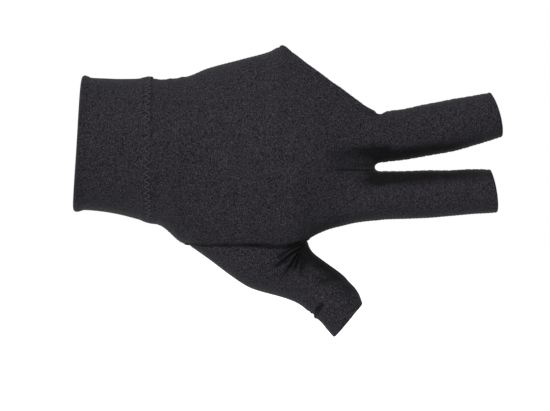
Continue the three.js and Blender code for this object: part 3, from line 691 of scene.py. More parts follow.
def thumb_grid():
    """Rings of the thumb: each blends from the seam on the palm to a superellipse between
    the thumb's outer and inner edge, pressed in by the gathers."""
    back = hand_point(-1, "lower", THUMB_STATIONS, 1.0)
    palm = hand_point(1, "lower", THUMB_STATIONS[::-1], 1.0)
    rim = np.concatenate([back, palm[1:-1]])
    count = len(rim)
    start = rim[0]
    along = finer(THUMB_RINGS)[:, None]
    turn = 2 * np.pi * np.arange(count) / count
    side = np.where(np.arange(count) <= count / 2, -1, 1)
    across = (1 - signed_power(np.cos(turn), WIDTH_POWER)) / 2
    seam_across = (rim[:, 0] - start[0]) / (crotch[0] - start[0])
    flare = thumb["flare"](along * mix(1, CROTCH_FLARE, seam_across))
    sag = rim[:, 2] - mix(start[2], crotch[2], seam_across)
    share = mix(across, seam_across, flare)
    out_x = mix(crotch[0], start[0], thumb["seam"](along)) + thumb["out_x"](along)
    out_z = mix(crotch[2], start[2], thumb["seam"](along)) + thumb["out_z"](along)
    x = mix(out_x, crotch[0] + thumb["in_x"](along), share)
    z = mix(out_z, crotch[2] + thumb["in_z"](along), share) + sag * flare
    round_height = np.abs(np.sin(turn)) ** WIDTH_POWER
    ring_y = thumb["drop"](along) + side * thumb["depth"](along) * round_height
    y = mix(ring_y, rim[:, 1], flare)
    y = y - side * fold_depth(x, z) * round_height * (1 - flare)
    lean = THUMB_END_LEAN * THUMB_DEPTH * round_height * across ** 2 * along ** END_POWER
    return np.stack([x + np.where(side > 0, lean, 0), y, z], -1)


# Skins: points, square faces, the cloth's own coordinates at each face's corners, and
# which points lie on a free edge
Skin = namedtuple("Skin", "points faces cloth free")


def same_points(points):
    """The first of each set of points that lie on one another, and each point's set."""
    _, first, index = np.unique(np.round(points, 3), axis=0, return_index=True, return_inverse=True)
    return first, index.reshape(-1)


def grid_skin(grid, flip, closed=False):
    """The faces of a grid of points, or of a tube whose rings close on themselves. The last
    row is free. The cloth's coordinates are the running lengths along the grid's middle
    column and its rows."""
    rows, columns = grid.shape[:2]
    ring = np.concatenate([grid, grid[:, :1]], 1) if closed else grid
    across = np.cumsum(np.linalg.norm(np.diff(ring, axis=1), axis=-1), axis=1)
    across = np.concatenate([np.zeros((rows, 1)), across], 1)
    middle = grid[:, columns // 2]
    along = np.cumsum(np.linalg.norm(np.diff(middle, axis=0, prepend=middle[:1]), axis=-1))
    i, j = np.meshgrid(np.arange(rows - 1), np.arange(ring.shape[1] - 1), indexing="ij")
    i, j = i.ravel(), j.ravel()
    at_row = np.stack([i, i + 1, i + 1, i], -1)
    at_column = np.stack([j, j, j + 1, j + 1], -1)
    if flip:
        at_row, at_column = at_row[:, ::-1], at_column[:, ::-1]
    faces = at_row * columns + at_column % columns
    cloth = np.stack([along[at_row], across[at_row, at_column]], -1)
    free = np.repeat(np.arange(rows) == rows - 1, columns)
    return Skin(grid.reshape(-1, 3), faces, cloth, free)


def together(skins):
    """The points and the faces of several skins as one, and where each skin's points start."""
    starts = np.cumsum([0] + [len(skin.points) for skin in skins[:-1]])
    points = np.concatenate([skin.points for skin in skins])
    faces = np.concatenate([skin.faces + start for skin, start in zip(skins, starts)])
    return points, faces, starts


def join_skins(*skins):
    """Several skins as one, with the points that they share merged."""
    points, faces, _ = together(skins)
    first, index = same_points(points)
    free = np.concatenate([skin.free for skin in skins])[first]
    cloth = np.concatenate([skin.cloth for skin in skins])
    return Skin(points[first], index[faces], cloth, free)


def shared_normals(skins):
    """Normals of all skins together, so that two pieces agree where they meet: the sum of
    the areas round each point."""
    points, faces, starts = together(skins)
    _, index = same_points(points)
    p = points[faces]
    area = np.cross(p[:, 2] - p[:, 0], p[:, 3] - p[:, 1])
    normals = np.zeros((index.max() + 1, 3))
    for corner in range(4):
        np.add.at(normals, index[faces[:, corner]], area)
    normals /= np.linalg.norm(normals, axis=1, keepdims=True)
    return np.split(normals[index], starts[1:])


def relaxed(skins):
    """The skins with each point moved, round after round, half way to the mean of its
    neighbours, which takes the edge off where one form runs into the next. The open edges
    and the seams stay where they are."""
    points, faces, starts = together(skins)
    first, index = same_points(points)
    faces = index[faces]
    a, b = faces.ravel(), np.roll(faces, -1, axis=1).ravel()
    a, b = np.concatenate([a, b]), np.concatenate([b, a])
    merged = points[first]
    weight = np.bincount(a, minlength=len(merged))[:, None]
    loose = np.ones((len(merged), 1))
    loose[np.unique(border_of(faces)[0])] = 0
    for start in starts[1:]:
        loose[np.intersect1d(index[:start], index[start:])] = 0
    for _ in range(RELAX_ROUNDS):
        total = np.stack([np.bincount(a, merged[b, k], len(merged)) for k in range(3)], -1)
        merged = merged + loose * (total / weight - merged) / 2
    return [
        skin._replace(points=part)
        for skin, part in zip(skins, np.split(merged[index], starts[1:]))
    ]


def wrist_ridge(x):
    """The wrist seam stands out as a flat ridge."""
    return WRIST_RIDGE * bell(((x - WRIST_RIDGE_X) / WRIST_RIDGE_HALF) ** 2)


def relief(points, normals):
    """How far the cloth stands out over the plain form: creases on the back of the hand,
    each a bell across its line that fades at both ends and reaches the outline only near
    the wrist and on the thumb's outer side, the ridge of the wrist seam, the groove of the
    thumb's seam, and puckers that waver along the seams beside the gap between the sleeves."""
    x, z = points[..., 0], points[..., 2]
    at_outline = np.clip((OUTLINE_X - x) / OUTLINE_FADE, 0, 1)
    at_outline = np.maximum(at_outline, np.clip((OUTLINE_Z - z) / OUTLINE_FADE, 0, 1))
    back_only = np.clip(-normals[..., 1], 0, 1) ** 2
    back_and_side = np.clip(OUTLINE_REACH - normals[..., 1], 0, 1)
    on_back = mix(back_only, back_and_side, at_outline)
    from_seam = (z - hand["bottom"](x)) / SEAM_GROOVE_WIDTH
    on_seam = np.clip(np.minimum(x - THUMB_START_X, THUMB_END_X - x), 0, 1)
    height = wrist_ridge(x) - SEAM_GROOVE * bell(from_seam) * on_seam
    for x0, z0, x1, z1, width, tall in zip(*CREASES.values()):
        run = np.hypot(x1 - x0, z1 - z0)
        along = ((x - x0) * (x1 - x0) + (z - z0) * (z1 - z0)) / run ** 2
        off = ((z - z0) * (x1 - x0) - (x - x0) * (z1 - z0)) / run
        share = np.clip(along, 0, 1)
        fade = np.sqrt(np.minimum(share / CREASE_START, 1)) * (1 - share) ** CREASE_FADE
        height = height + tall * fade * bell(off / width) * on_back
    on_side = np.clip(1 - PUCKER_SPREAD * np.abs(normals[..., 1]), 0, 1)
    past_crotch = np.clip((x - CROTCH_X) / PUCKER_START, 0, 1)
    phase = 2 * np.pi * x / PUCKER_PITCH
    waver = np.sin(phase) + PUCKER_SECOND * np.sin(phase / PUCKER_MIX)
    return height + PUCKER * waver * on_side * past_crotch * (z > PUCKER_Z)


def raised(skins):
    """The skins with their relief, and how far each point lies below the plain form, which
    is below 0 on a ridge."""
    normals = shared_normals(skins)
    heights = [relief(skin.points, out) for skin, out in zip(skins, normals)]
    lifted = [
        skin._replace(points=skin.points + out * height[:, None])
        for skin, out, height in zip(skins, normals, heights)
    ]
    return lifted, [-height for height in heights]


def occlusion_for_painted_shade(skins, normals):
    """How much of what each point faces is other cloth, from 0 to 1, which is painted into the
    colour as shade. Every few faces stand for a disk of cloth of area A and normal m: at a
    distance r along v it covers A (n . v) (m . v) / (pi r^2 + A) of what a point with normal n
    faces."""
    points, _, starts = together(skins)
    points = points.astype(np.float32)
    facing = np.concatenate(normals).astype(np.float32)
    centres, ways = [], []
    for skin in skins:
        corners = skin.points[skin.faces]
        area = np.cross(corners[:, 2] - corners[:, 0], corners[:, 3] - corners[:, 1]) / 2
        count = len(area) // DISK_FACES * DISK_FACES
        centres.append(corners.mean(1)[:count].reshape(-1, DISK_FACES, 3).mean(1))
        ways.append(area[:count].reshape(-1, DISK_FACES, 3).sum(1))
    centres = np.concatenate(centres).astype(np.float32)
    ways = np.concatenate(ways).astype(np.float32)
    area = np.linalg.norm(ways, axis=1)
    ways = ways / area[:, None]
    covered = []
    for start in range(0, len(points), CHUNK):
        part = points[start:start + CHUNK]
        n = facing[start:start + CHUNK]
        square = (part ** 2).sum(1)[:, None] + (centres ** 2).sum(1) - 2 * part @ centres.T
        square = np.maximum(square, 1e-3)
        ahead = np.maximum(n @ centres.T - (n * part).sum(1)[:, None], 0)
        back = np.maximum(part @ ways.T - (ways * centres).sum(1), 0)
        covered.append((area * ahead * back / square / (np.pi * square + area)).sum(1))
    return np.split(np.minimum(np.concatenate(covered), 1), starts[1:])


def floor_share(skin, normals):
    """The pale floor lights the underside of the hand, so little of its painted shade counts there.
    """
    faces_floor = np.clip(-normals[:, 2], 0, 1)
    below = np.clip((FLOOR_LIT_Z - skin.points[:, 2]) / FLOOR_LIT_FADE, 0, 1)
    return 1 - FLOOR_BOUNCE * faces_floor * below


def border_of(faces):
    """The edges that only one face uses, in the way that the face runs."""
    start = faces.ravel()
    end = np.roll(faces, -1, axis=1).ravel()
    name = np.minimum(start, end) * (faces.max() + 1) + np.maximum(start, end)
    _, index, uses = np.unique(name, return_inverse=True, return_counts=True)
    alone = uses[index.reshape(-1)] == 1
    return start[alone], end[alone]


def cloth_shell(skin, normals, painted_shade):
    """A closed shell of cloth: the skin, its copy one wall further in, and a rounded rim
    between them, for which the border is drawn back. Two rims at a seam overlap a little,
    so that their groove lets no light through. The painted shade is each point's, from above."""
    points, faces, cloth = skin.points, skin.faces, skin.cloth
    start, end = border_of(faces)
    way = points[end] - points[start]
    way /= np.linalg.norm(way, axis=1, keepdims=True)
    ways = np.zeros_like(points)
    np.add.at(ways, start, way)
    np.add.at(ways, end, way)
    rim = np.unique(start)
    inward = np.cross(normals[rim], ways[rim])
    inward /= np.maximum(np.linalg.norm(inward, axis=1, keepdims=True), 1e-9)
    seam_round = np.where(points[rim, 0] < SEAM_X + CLOTH, WRIST_SEAM_ROUND, SEAM_ROUND)
    bulge = np.where(skin.free[rim], EDGE_ROUND, seam_round)[:, None]

    outer = points.copy()
    outer[rim] += inward * (bulge - SEAM_LAP / 2)
    inner = outer - CLOTH * normals
    count = len(points)
    middle = (outer[rim] + inner[rim]) / 2
    rings = [rim]
    parts = [outer, inner]
    for step in range(1, RIM_STEPS):
        turn = np.pi * step / RIM_STEPS
        round_part = normals[rim] * CLOTH / 2 * np.cos(turn) - inward * bulge * np.sin(turn)
        rings.append(2 * count + (step - 1) * len(rim) + np.arange(len(rim)))
        parts.append(middle + round_part)
    rings.append(rim + count)
    place = np.zeros(count, int)
    place[rim] = np.arange(len(rim))
    a, b = place[start], place[end]
    rim_faces = [np.stack([r[a], s[a], s[b], r[b]], -1) for r, s in zip(rings, rings[1:])]

    at_point = np.zeros((count, 2))
    at_point[faces.ravel()] = cloth.reshape(-1, 2)
    rim_cloth = np.stack([at_point[start], at_point[start], at_point[end], at_point[end]], 1)
    all_faces = np.concatenate([faces, faces[:, ::-1] + count, *rim_faces])
    all_cloth = np.concatenate([cloth, cloth[:, ::-1], *[rim_cloth] * RIM_STEPS])
    all_painted_shade = np.concatenate([painted_shade, painted_shade, *[painted_shade[rim]] * (RIM_STEPS - 1)])
    return np.concatenate(parts), all_faces, all_cloth, all_painted_shade


def cuff_shell():
    """The doubled cuff: one cloth that runs from the wrist seam to the mouth, turns there in
    a round fold and runs back inside. Its profile is carried round the wrist as rings."""
    along = finer(CUFF["along"], CUFF_FINER)
    skin = round_the_hand(lambda side, half, a: cuff_point(side, half, along[:, None], a))
    around = np.roll(skin, -1, axis=1) - np.roll(skin, 1, axis=1)
    normals = np.cross(around, np.gradient(skin, axis=0))
    normals /= np.linalg.norm(normals, axis=-1, keepdims=True)
    skin = skin + normals * relief(skin, normals)[..., None]
    skin[-1, :, 0] += SEAM_LAP / 2

    to_mouth = skin[0] - skin[1]
    to_mouth /= np.linalg.norm(to_mouth, axis=1, keepdims=True)
    radius = CUFF_CLOTH / 2
    from_mouth = np.clip(1 - along * SEAM_X / FOLD_ROOM, 0, 1)[:, None, None]
    skin = skin - from_mouth * radius * to_mouth

    def layer(depth):
        """The skin moved inwards by a depth along its normals."""
        return skin - normals * depth

    def fold(bend):
        """A half circle of that radius from the outer layer to the inner one."""
        turn = np.linspace(0, np.pi, FOLD_STEPS)[1:-1, None, None]
        depth = radius - bend * np.cos(turn)
        return skin[0] - normals[0] * depth + to_mouth * bend * np.sin(turn)

    rings = np.concatenate([
        layer(0)[::-1],
        fold(radius),
        layer(CUFF_CLOTH),
        layer(CUFF_CLOTH - CUFF_LAYER)[::-1],
        fold(radius - CUFF_LAYER)[::-1],
        layer(CUFF_LAYER),
    ])
    return tube_mesh(rings)


def tube_mesh(rings):
    """A mesh of rings of points, closed on itself."""
    skin = grid_skin(np.concatenate([rings, rings[:1]]), False, closed=True)
    faces = skin.faces % (len(rings) * rings.shape[1])
    return rings.reshape(-1, 3), faces, skin.cloth


def frame_along(path, closed, up):
    """Unit vectors along a path, square to it towards up, and across both."""
    if closed:
        ahead = np.roll(path, -1, axis=0) - np.roll(path, 1, axis=0)
    else:
        ahead = np.gradient(path, axis=-2)
    ahead = ahead / np.linalg.norm(ahead, axis=-1, keepdims=True)
    out = up - ahead * (up * ahead).sum(-1, keepdims=True)
    out = out / np.linalg.norm(out, axis=-1, keepdims=True)
    return ahead, out, np.cross(out, ahead)


def round_rings(path, out, across, radius, sides):
    """Circles square to a path."""
    turn = 2 * np.pi * np.arange(sides)[:, None] / sides
    ring = out[..., None, :] * np.cos(turn) + across[..., None, :] * np.sin(turn)
    return path[..., None, :] + ring * np.asarray(radius)[..., None, None]


def opening_hem_mesh(normal_at):
    """The rolled hem: a round tube on the free edges of both panels, over the back and home
    over the palm, that is thin at the opening's ends and swells a little at even places."""
    in_hand = HAND_STATIONS[HAND_STATIONS >= OPENING_START_X]
    in_sleeve = SLEEVE_STATIONS[SLEEVE_STATIONS <= OPENING_RUNOUT / MIDDLE_SLEEVE_LENGTH]
    back, palm = (
        np.concatenate([
            hand_point(side, "upper", in_hand, 1.0),
            sleeve_point(side, "upper", in_sleeve, 1.0),
        ])
        for side in (-1, 1)
    )
    loop = np.concatenate([back, palm[-2:0:-1]])
    normals = normal_at(loop)
    middle = loop - normals * CLOTH / 2
    x = loop[:, :1]
    thick = np.clip(HEM_THIN + opening_height(x), HEM_THIN, 1)
    thick = thick * np.clip((OPENING_END_X - x) / HEM_RUNOUT, HEM_THIN, 1)
    coming = middle - np.roll(middle, 1, axis=0)
    coming /= np.linalg.norm(coming, axis=1, keepdims=True)
    going = np.roll(coming, -1, axis=0)
    _, out, into = frame_along(middle, True, normals)
    half_turn = np.sqrt((1 + (coming * going).sum(1, keepdims=True)) / 2)
    radius = HEM_DIAMETER / 2 * thick
    path = middle + into * (radius - HEM_SINK) / np.maximum(half_turn, HEM_MITRE)
    length = np.cumsum(np.linalg.norm(np.diff(path, axis=0, prepend=path[-1:]), axis=1))
    swell = radius[:, 0] * (1 + HEM_SWELL * np.sin(2 * np.pi * length / HEM_PITCH))
    return tube_mesh(round_rings(path, out, into, swell, HEM_SIDES))


def even_places(path, spacing):
    """Places along a path, as numbers of its points, so far apart."""
    length = np.concatenate([[0], np.cumsum(np.linalg.norm(np.diff(path, axis=0), axis=1))])
    count = int(length[-1] / spacing)
    return np.interp((np.arange(count) + 0.5) * length[-1] / count, length, np.arange(len(path)))


def along_path(values, places):
    """Values at places between points of a path, on straight lines from point to point."""
    whole = np.floor(places).astype(int)
    share = (places - whole)[:, None]
    return mix(values[whole], values[np.minimum(whole + 1, len(values) - 1)], share)


def capped_tubes(paths, out, across, radius):
    """Many short threads at once: each path's circles shrink to a point at both ends."""
    count, steps = paths.shape[:2]
    share = 2 * np.arange(steps) / (steps - 1) - 1
    taper = np.sqrt(np.clip(1 - share ** THREAD_BLUNT, THREAD_TIP, 1))
    rings = round_rings(paths, out, across, radius * taper, THREAD_SIDES)
    i, j = np.meshgrid(np.arange(steps - 1), np.arange(THREAD_SIDES), indexing="ij")
    here, after = (i * THREAD_SIDES + place % THREAD_SIDES for place in (j, j + 1))
    side = np.stack([here, here + THREAD_SIDES, after + THREAD_SIDES, after], -1).reshape(-1, 4)
    ring = np.arange(THREAD_SIDES)
    caps = [ring[::-1], ring + (steps - 1) * THREAD_SIDES]
    starts = np.arange(count)[:, None, None] * steps * THREAD_SIDES
    faces = (side[None] + starts).reshape(-1, 4)
    ends = (np.stack(caps)[None] + starts).reshape(-1, THREAD_SIDES)
    return rings.reshape(-1, 3), faces, ends


def stitches(paths, spacing, half_width, lift, radius):
    """Short threads that arch over a seam: each crosses it at a slant and dips into the
    cloth at both ends. paths holds the seam's points and their normals."""
    all_paths, all_out = [], []
    share = np.linspace(-1, 1, THREAD_STEPS)
    for path, normals in paths:
        ahead, out, across = frame_along(path, False, normals)
        places = even_places(path, spacing)
        here, ahead, out, across = (
            along_path(values, places)[:, None] for values in (path, ahead, out, across))
        height = (lift + radius) * (1 - share ** 2) - radius * share ** 2
        swing = (half_width * share)[:, None]
        line = here + (across + ahead * STITCH_SLANT) * swing + out * height[:, None]
        all_paths.append(line)
        all_out.append(np.broadcast_to(ahead, line.shape))
    line = np.concatenate(all_paths)
    _, out, across = frame_along(line, False, np.concatenate(all_out))
    return capped_tubes(line, out, across, radius)


def wrist_zigzag():
    """The thread of the wrist seam: it goes round the wrist and swings from one side of the
    seam to the other, with rounded turns that dip into the cloth and get painted shade there."""
    seam = round_the_hand(
        lambda side, half, a: hand_point(side, half, np.full(a.shape, SEAM_X), a))
    ring = np.concatenate([seam, seam[:1]])
    places = even_places(ring, ZIGZAG_PITCH / ZIGZAG_STEPS)
    count = len(places) // (2 * ZIGZAG_STEPS) * 2 * ZIGZAG_STEPS
    path = along_path(ring, np.linspace(places[0], places[-1], count))
    wave = np.sin(np.pi * np.arange(count) / ZIGZAG_STEPS)
    swing = np.arcsin(ZIGZAG_SHARP * wave) / np.arcsin(ZIGZAG_SHARP)
    turns = np.abs(swing) ** ZIGZAG_TURN
    _, along_hand, out = frame_along(path, True, np.broadcast_to([1.0, 0, 0], path.shape))
    out = out * np.sign((out * (path - path.mean(0))).sum(1, keepdims=True))
    off = ZIGZAG_SHIFT + ZIGZAG_HALF * swing
    lift = wrist_ridge(SEAM_X + off) + ZIGZAG_LIFT - ZIGZAG_DIP * turns
    line = path + along_hand * off[:, None] + out * lift[:, None]
    _, towards, across = frame_along(line, True, out)
    rings = round_rings(line, towards, across, ZIGZAG_THREAD * (1 + turns), THREAD_SIDES)
    # Painted shade at the turns, where the thread dips into the cloth
    return *tube_mesh(rings), np.repeat(PAINTED_SHADE_RANGE[1] * turns, THREAD_SIDES)


# Meshes and materials in Blender


def make_piece(name, mesh_data, material):
    """A smooth mesh from points in millimetres and faces, then the cloth's coordinates at the
    faces' corners or else the threads' caps and, if given, each point's painted shade."""
    points, faces, extra, *painted_shade = mesh_data
    has_cloth = extra.ndim == 3
    polygons = [faces] if has_cloth else [faces, extra]
    mesh = bpy.data.meshes.new(name)
    sizes = np.concatenate([np.full(len(part), part.shape[1]) for part in polygons])
    corners = np.concatenate([part.ravel() for part in polygons])
    mesh.vertices.add(len(points))
    mesh.vertices.foreach_set("co", (points * MM).astype(np.float32).ravel())
    mesh.loops.add(len(corners))
    mesh.loops.foreach_set("vertex_index", corners.astype(np.int32))
    mesh.polygons.add(len(sizes))
    mesh.polygons.foreach_set("loop_start", (np.cumsum(sizes) - sizes).astype(np.int32))
    mesh.update(calc_edges=True)
    if has_cloth:
        cloth = mesh.attributes.new("cloth", "FLOAT_VECTOR", "CORNER")
        values = np.concatenate([extra, np.zeros(extra.shape[:2] + (1,))], -1)
        cloth.data.foreach_set("vector", (values * MM).astype(np.float32).ravel())
    # Each point's painted shade, by which the materials darken the colour
    if painted_shade:
        shade = mesh.attributes.new("painted_shade", "FLOAT", "POINT")
        shade.data.foreach_set("value", painted_shade[0].astype(np.float32))
    if signed_volume(points, polygons) < 0:
        mesh.flip_normals()
    mesh.validate()
    mesh.shade_smooth()
    mesh.set_sharp_from_angle(angle=SHARP_ANGLE)
    piece = bpy.data.objects.new(name, mesh)
    bpy.context.scene.collection.objects.link(piece)
    mesh.materials.append(material)
    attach(piece, "root")
    return piece


def signed_volume(points, polygons):
    """The volume within closed faces, below 0 where they point inwards."""
    total = 0
    for part in polygons:
        p = points[part]
        for k in range(1, part.shape[1] - 1):
            total += (p[:, 0] * np.cross(p[:, k], p[:, k + 1])).sum() / 6
    return total


class Value:
    """A shader socket that takes part in Python arithmetic."""

    def __init__(self, shader, socket):
        self.shader = shader
        self.socket = socket

    def math(self, operation, *others):
        """A Math node on this value and the others."""
        inputs = dict(enumerate([self, *others]))
        return self.shader.node("ShaderNodeMath", inputs, operation=operation)

    def __add__(self, other):
        return self.math("ADD", other)

    def __sub__(self, other):
        return self.math("SUBTRACT", other)

    def __rsub__(self, other):
        return (self * -1) + other

    def __mul__(self, other):
        return self.math("MULTIPLY", other)

    def __truediv__(self, other):
        return self.math("DIVIDE", other)

    __radd__ = __add__
    __rmul__ = __mul__

    def between(self, low, high):
        """0 at low, 1 at high, with a smooth step between."""
        inputs = {"Value": self, "From Min": low, "From Max": high}
        return self.shader.node("ShaderNodeMapRange", inputs, interpolation_type="SMOOTHSTEP")


class Shader:
    """A material's nodes."""

    def __init__(self, name):
        self.material = bpy.data.materials.new(name)
        self.material.use_nodes = True
        self.tree = self.material.node_tree
        self.surface = self.tree.nodes["Principled BSDF"]

    def feed(self, socket, value):
        """Links a value to a socket, or sets the socket to a number or a colour."""
        if isinstance(value, Value):
            self.tree.links.new(value.socket, socket)
        else:
            socket.default_value = value

    def node(self, kind, inputs, output=0, **settings):
        """A node of that kind, its settings made first, then its inputs fed."""
        made = self.tree.nodes.new(kind)
        for name, value in settings.items():
            setattr(made, name, value)
        for name, value in inputs.items():
            self.feed(made.inputs[name], value)
        return Value(self, made.outputs[output])

    def finish(self, **inputs):
        """Feeds the surface, each socket by its name, and gives the finished material."""
        for name, value in inputs.items():
            self.feed(self.surface.inputs[name.replace("_", " ")], value)
        return self.material

    def place(self):
        """The point's place on the glove, in metres."""
        return self.node("ShaderNodeTexCoord", {}, "Object")

    def noise(self, size, detail=2.0, roughness=0.5, vector=None):
        """Noise whose blots are about this size in metres."""
        inputs = {"Vector": vector or self.place(), "Scale": 1 / size, "Detail": detail,
                  "Roughness": roughness}
        return self.node("ShaderNodeTexNoise", inputs, "Fac")

    def blend(self, share, low, high):
        """A colour between two others, each three numbers or another blend."""
        low, high = (end if isinstance(end, Value) else (*end, 1) for end in (low, high))
        return self.node("ShaderNodeMix", {0: share, 6: low, 7: high}, 2, data_type="RGBA")

    def with_painted_shade(self, colour):
        """The colour with painted shade: darker where other cloth and creases would shade it."""
        painted_shade = self.node("ShaderNodeAttribute", {}, "Fac", attribute_name="painted_shade")
        unshaded = 1 - painted_shade.between(*PAINTED_SHADE_RANGE) * PAINTED_SHADE_DARK
        return self.blend(unshaded, (0, 0, 0), colour)

    def bump(self, height, strength, distance):
        """The normal of a relief, in which a height of 1 is this distance in metres."""
        inputs = {"Height": height, "Strength": strength, "Distance": distance}
        return self.node("ShaderNodeBump", inputs)


def knit_material(name, colour, loop_size):
    """Stretch knit: columns of slanted loops on the cloth's own coordinates, unevenly pulled,
    with lighter flecks of bare yarn, a little fuzz and a slow change of tone, and painted
    shade from each point's attribute."""
    shader = Shader(name)
    cloth = shader.node("ShaderNodeAttribute", {}, "Vector", attribute_name="cloth")
    split = shader.tree.nodes.new("ShaderNodeSeparateXYZ")
    shader.feed(split.inputs[0], cloth)
    pull = shader.noise(PULL_SIZE) - 0.5
    column, row = (
        Value(shader, split.outputs[k]) / loop_size[k] + pull * PULL[k] for k in (0, 1))
    across = (column.math("FRACT") - 0.5).math("ABSOLUTE") * 2
    arm = (across * np.pi).math("SINE")
    loop = ((row + across * ARM_SLANT) * (2 * np.pi)).math("COSINE") * 0.5 + 0.5
    yarn = arm * (loop * (1 - ARM_LIGHT) + ARM_LIGHT)
    strokes = shader.node(
        "ShaderNodeVectorMath", {0: shader.place(), 1: STROKE}, operation="MULTIPLY")
    forms = {
        "base": 1,
        "yarn": yarn,
        "uneven": shader.noise(UNEVEN_SIZE, detail=0.0, vector=strokes) - 0.5,
        "fleck": shader.noise(FLECK_SIZE, detail=0.0, vector=strokes).between(*FLECK_RANGE),
        "tone": shader.noise(TONE_SIZE, detail=3.0) - 0.5,
        "fuzz": shader.noise(FUZZ_SIZE),
    }

    def total(weights):
        """The forms, each times its weight, added up."""
        return sum(forms[name] * weight for name, weight in weights.items())

    return shader.finish(
        # Base colour with painted shade
        Base_Color=shader.with_painted_shade(shader.blend(total(LIGHTNESS), KNIT_DARK, colour)),
        Roughness=0.95 - yarn * 0.15,
        Specular_IOR_Level=0.12,
        Sheen_Weight=0.08,
        Sheen_Roughness=0.4,
        Normal=shader.bump(total(HEIGHT), strength=0.7, distance=0.00025),
    )


def thread_material(name, low, high):
    """Twisted thread: fine uneven fibres with a soft shine, and painted shade where a piece carries
    it, as at the zigzag's turns.
    """
    shader = Shader(name)
    fibre = shader.noise(FIBRE_SIZE, detail=3.0, roughness=0.6)
    return shader.finish(
        Base_Color=shader.with_painted_shade(shader.blend(fibre, low, high)),
        Roughness=0.75,
        Specular_IOR_Level=0.25,
        Normal=shader.bump(fibre, strength=0.5, distance=0.0001),
    )


# The glove

backs = [grid_skin(panel_grid(-1, half), half == "lower") for half in ("upper", "lower")]
palms = [grid_skin(panel_grid(1, half), half == "upper") for half in ("upper", "lower")]
thumb_skin = grid_skin(thumb_grid(), False, closed=True)
skins = [join_skins(*backs), join_skins(*palms), join_skins(thumb_skin)]
skins, hollows = raised(relaxed(skins))
skin_normals = shared_normals(skins)
# Painted shade: the other cloth that each point faces and the depth of its crease, less on the
# underside that the floor lights
painted_shades = [
    painted_shade * floor_share(skin, normals) + CREASE_PAINTED_SHADE * hollow
    for skin, normals, painted_shade, hollow in zip(
        skins, skin_normals, occlusion_for_painted_shade(skins, skin_normals), hollows)
]
every_point = together(skins)[0]
every_normal = np.concatenate(skin_normals)


def nearest_normal(points):
    """The skin's normal at the nearest of its points."""
    apart = ((points[:, None, :] - every_point[None]) ** 2).sum(-1)
    return every_normal[apart.argmin(1)]


knit = knit_material("black_knit", KNIT_LIGHT, LOOP)
cuff_knit = knit_material("doubled_knit", CUFF_LIGHT, LOOP)
# The hem's knit is lighter than the cloth's: painted light against the shade on its roll
hem_knit = knit_material("hem_knit", HEM_LIGHT, HEM_LOOP)
thread = thread_material("black_thread", *BLACK_THREAD)
seam_thread = thread_material("seam_thread", *SEAM_THREAD)

back, palm, thumb_piece = (
    make_piece(name, cloth_shell(skin, normals, painted_shade), knit)
    for name, skin, normals, painted_shade in zip(
        ("back_cloth", "palm_cloth", "thumb_cloth"), skins, skin_normals, painted_shades)
)
cuff_piece = make_piece("cuff_cloth", cuff_shell(), cuff_knit)
hem = make_piece("rolled_hem", opening_hem_mesh(nearest_normal), hem_knit)
zigzag = make_piece("wrist_zigzag", wrist_zigzag(), seam_thread)


def seam_path(points):
    """A seam's points with the cloth's normals there."""
    return points, nearest_normal(points)


def crease_shadow_cord():
    """A near-black cord along the crease behind the web, half sunk in the cloth of the back: a dark
    thing put in as the crease's painted shadow line.
    """
    x = np.linspace(*SHADOW_CORD_X, SHADOW_CORD_STEPS)
    skin_x, skin_y, skin_z = skins[0].points.T
    near = np.exp(-((x[:, None] - skin_x) ** 2 + (SHADOW_CORD_Z - skin_z) ** 2) / SHADOW_CORD_REACH ** 2)
    path = np.stack([x, near @ skin_y / near.sum(1), np.full(len(x), SHADOW_CORD_Z)], -1)
    _, out, across = frame_along(path[None], False, nearest_normal(path)[None])
    return capped_tubes(path[None], out, across, SHADOW_CORD_RADIUS)


def side_edge(half, low, high=CROTCH_X):
    """The back's side edge on the hand between two places along it."""
    stations = HAND_STATIONS[(HAND_STATIONS >= low) & (HAND_STATIONS <= high)]
    return hand_point(-1, half, stations, 1.0)


past_opening = SLEEVE_STATIONS[SLEEVE_STATIONS >= OPENING_RUNOUT / MIDDLE_SLEEVE_LENGTH]
thumb_seam = [hand_point(side, "lower", THUMB_STATIONS, 1.0) for side in (-1, 1)]
sleeve_seams = [
    sleeve_point(-1, "upper", past_opening, 1.0),
    sleeve_point(-1, "upper", SLEEVE_STATIONS, 0.0),
    sleeve_point(-1, "lower", SLEEVE_STATIONS, 0.0),
]
side_seams = [
    side_edge("upper", SEAM_X, OPENING_START_X),
    side_edge("lower", SEAM_X, THUMB_START_X),
    np.concatenate([
        side_edge("lower", THUMB_END_X), sleeve_point(-1, "lower", SLEEVE_STATIONS, 1.0)]),
]
thumb_stitches, sleeve_stitches, side_stitches = (
    make_piece(name, stitches([seam_path(points) for points in seams], *size), thread)
    for name, seams, size in (
        ("thumb_seam_stitches", thumb_seam, THUMB_STITCH),
        ("sleeve_seam_stitches", sleeve_seams, SLEEVE_STITCH),
        ("side_seam_stitches", side_seams, SIDE_STITCH),
    )
)
# A dark cord as the painted shadow line of the crease behind the web
crease_shadow = make_piece("crease_shadow_thread", crease_shadow_cord(), thread)

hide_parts("back_panel")
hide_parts("palm_panel")
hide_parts("thumb_sleeve")
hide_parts("cuff")
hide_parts("opening_hem")


# Studio


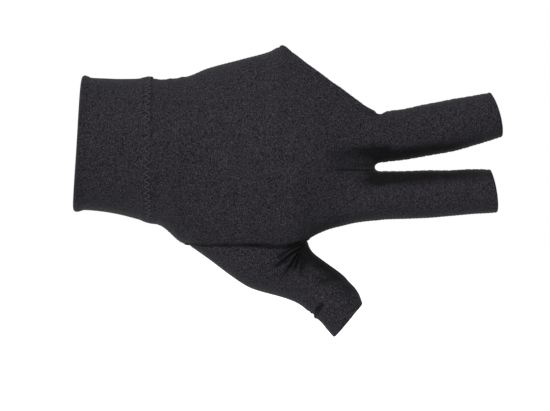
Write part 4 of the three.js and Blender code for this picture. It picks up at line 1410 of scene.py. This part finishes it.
def studio():
    """A pale floor below the glove, white surroundings, and two soft lights from the front
    left: a broad one above and a low one that reaches the undersides."""
    scene = bpy.context.scene
    scene.view_settings.view_transform = "Standard"
    world = bpy.data.worlds.new("white_room")
    world.use_nodes = True
    backdrop = world.node_tree.nodes["Background"]
    backdrop.inputs["Color"].default_value = (1, 1, 1, 1)
    ray = world.node_tree.nodes.new("ShaderNodeLightPath")
    strength = world.node_tree.nodes.new("ShaderNodeMapRange")
    strength.inputs["To Min"].default_value = ROOM_LIGHT
    world.node_tree.links.new(ray.outputs["Is Camera Ray"], strength.inputs["Value"])
    world.node_tree.links.new(strength.outputs[0], backdrop.inputs["Strength"])
    scene.world = world

    floor_mesh = bpy.data.meshes.new("floor")
    corners = [(-1, -1), (1, -1), (1, 1), (-1, 1)]
    floor_mesh.from_pydata(
        [(x * FLOOR_HALF, y * FLOOR_HALF, FLOOR_Z) for x, y in corners], [], [(0, 1, 2, 3)])
    floor = bpy.data.objects.new("floor", floor_mesh)
    scene.collection.objects.link(floor)
    paper = Shader("pale_floor")
    floor_mesh.materials.append(paper.finish(
        Base_Color=FLOOR_COLOUR,
        Roughness=0.9,
        Specular_IOR_Level=0.0,
        Emission_Color=paper.blend(
            paper.node("ShaderNodeLightPath", {}, "Is Camera Ray"), (0, 0, 0), (1, 1, 1)),
        Emission_Strength=FLOOR_GLOW,
    ))

    for name, place, size, power in LIGHTS:
        lamp = bpy.data.lights.new(name, "AREA")
        lamp.shape = "DISK"
        lamp.size = size
        lamp.energy = power
        light = bpy.data.objects.new(name, lamp)
        light.location = place
        aim = Vector(VIEW_CENTRE) - Vector(place)
        light.rotation_euler = aim.to_track_quat("-Z", "Y").to_euler()
        scene.collection.objects.link(light)


def make_camera():
    """The photograph's view: level, square to the back of the hand."""
    lens = bpy.data.cameras.new("camera")
    lens.lens = LENS
    lens.clip_start = CLIP_START
    camera = bpy.data.objects.new("camera", lens)
    distance = VIEW_WIDTH / lens.sensor_width * LENS
    camera.location = Vector(VIEW_CENTRE) + Vector((0, -distance, 0))
    camera.rotation_euler = (RIGHT_ANGLE, 0, 0)
    bpy.context.scene.collection.objects.link(camera)
    bpy.context.scene.camera = camera


studio()
make_camera()
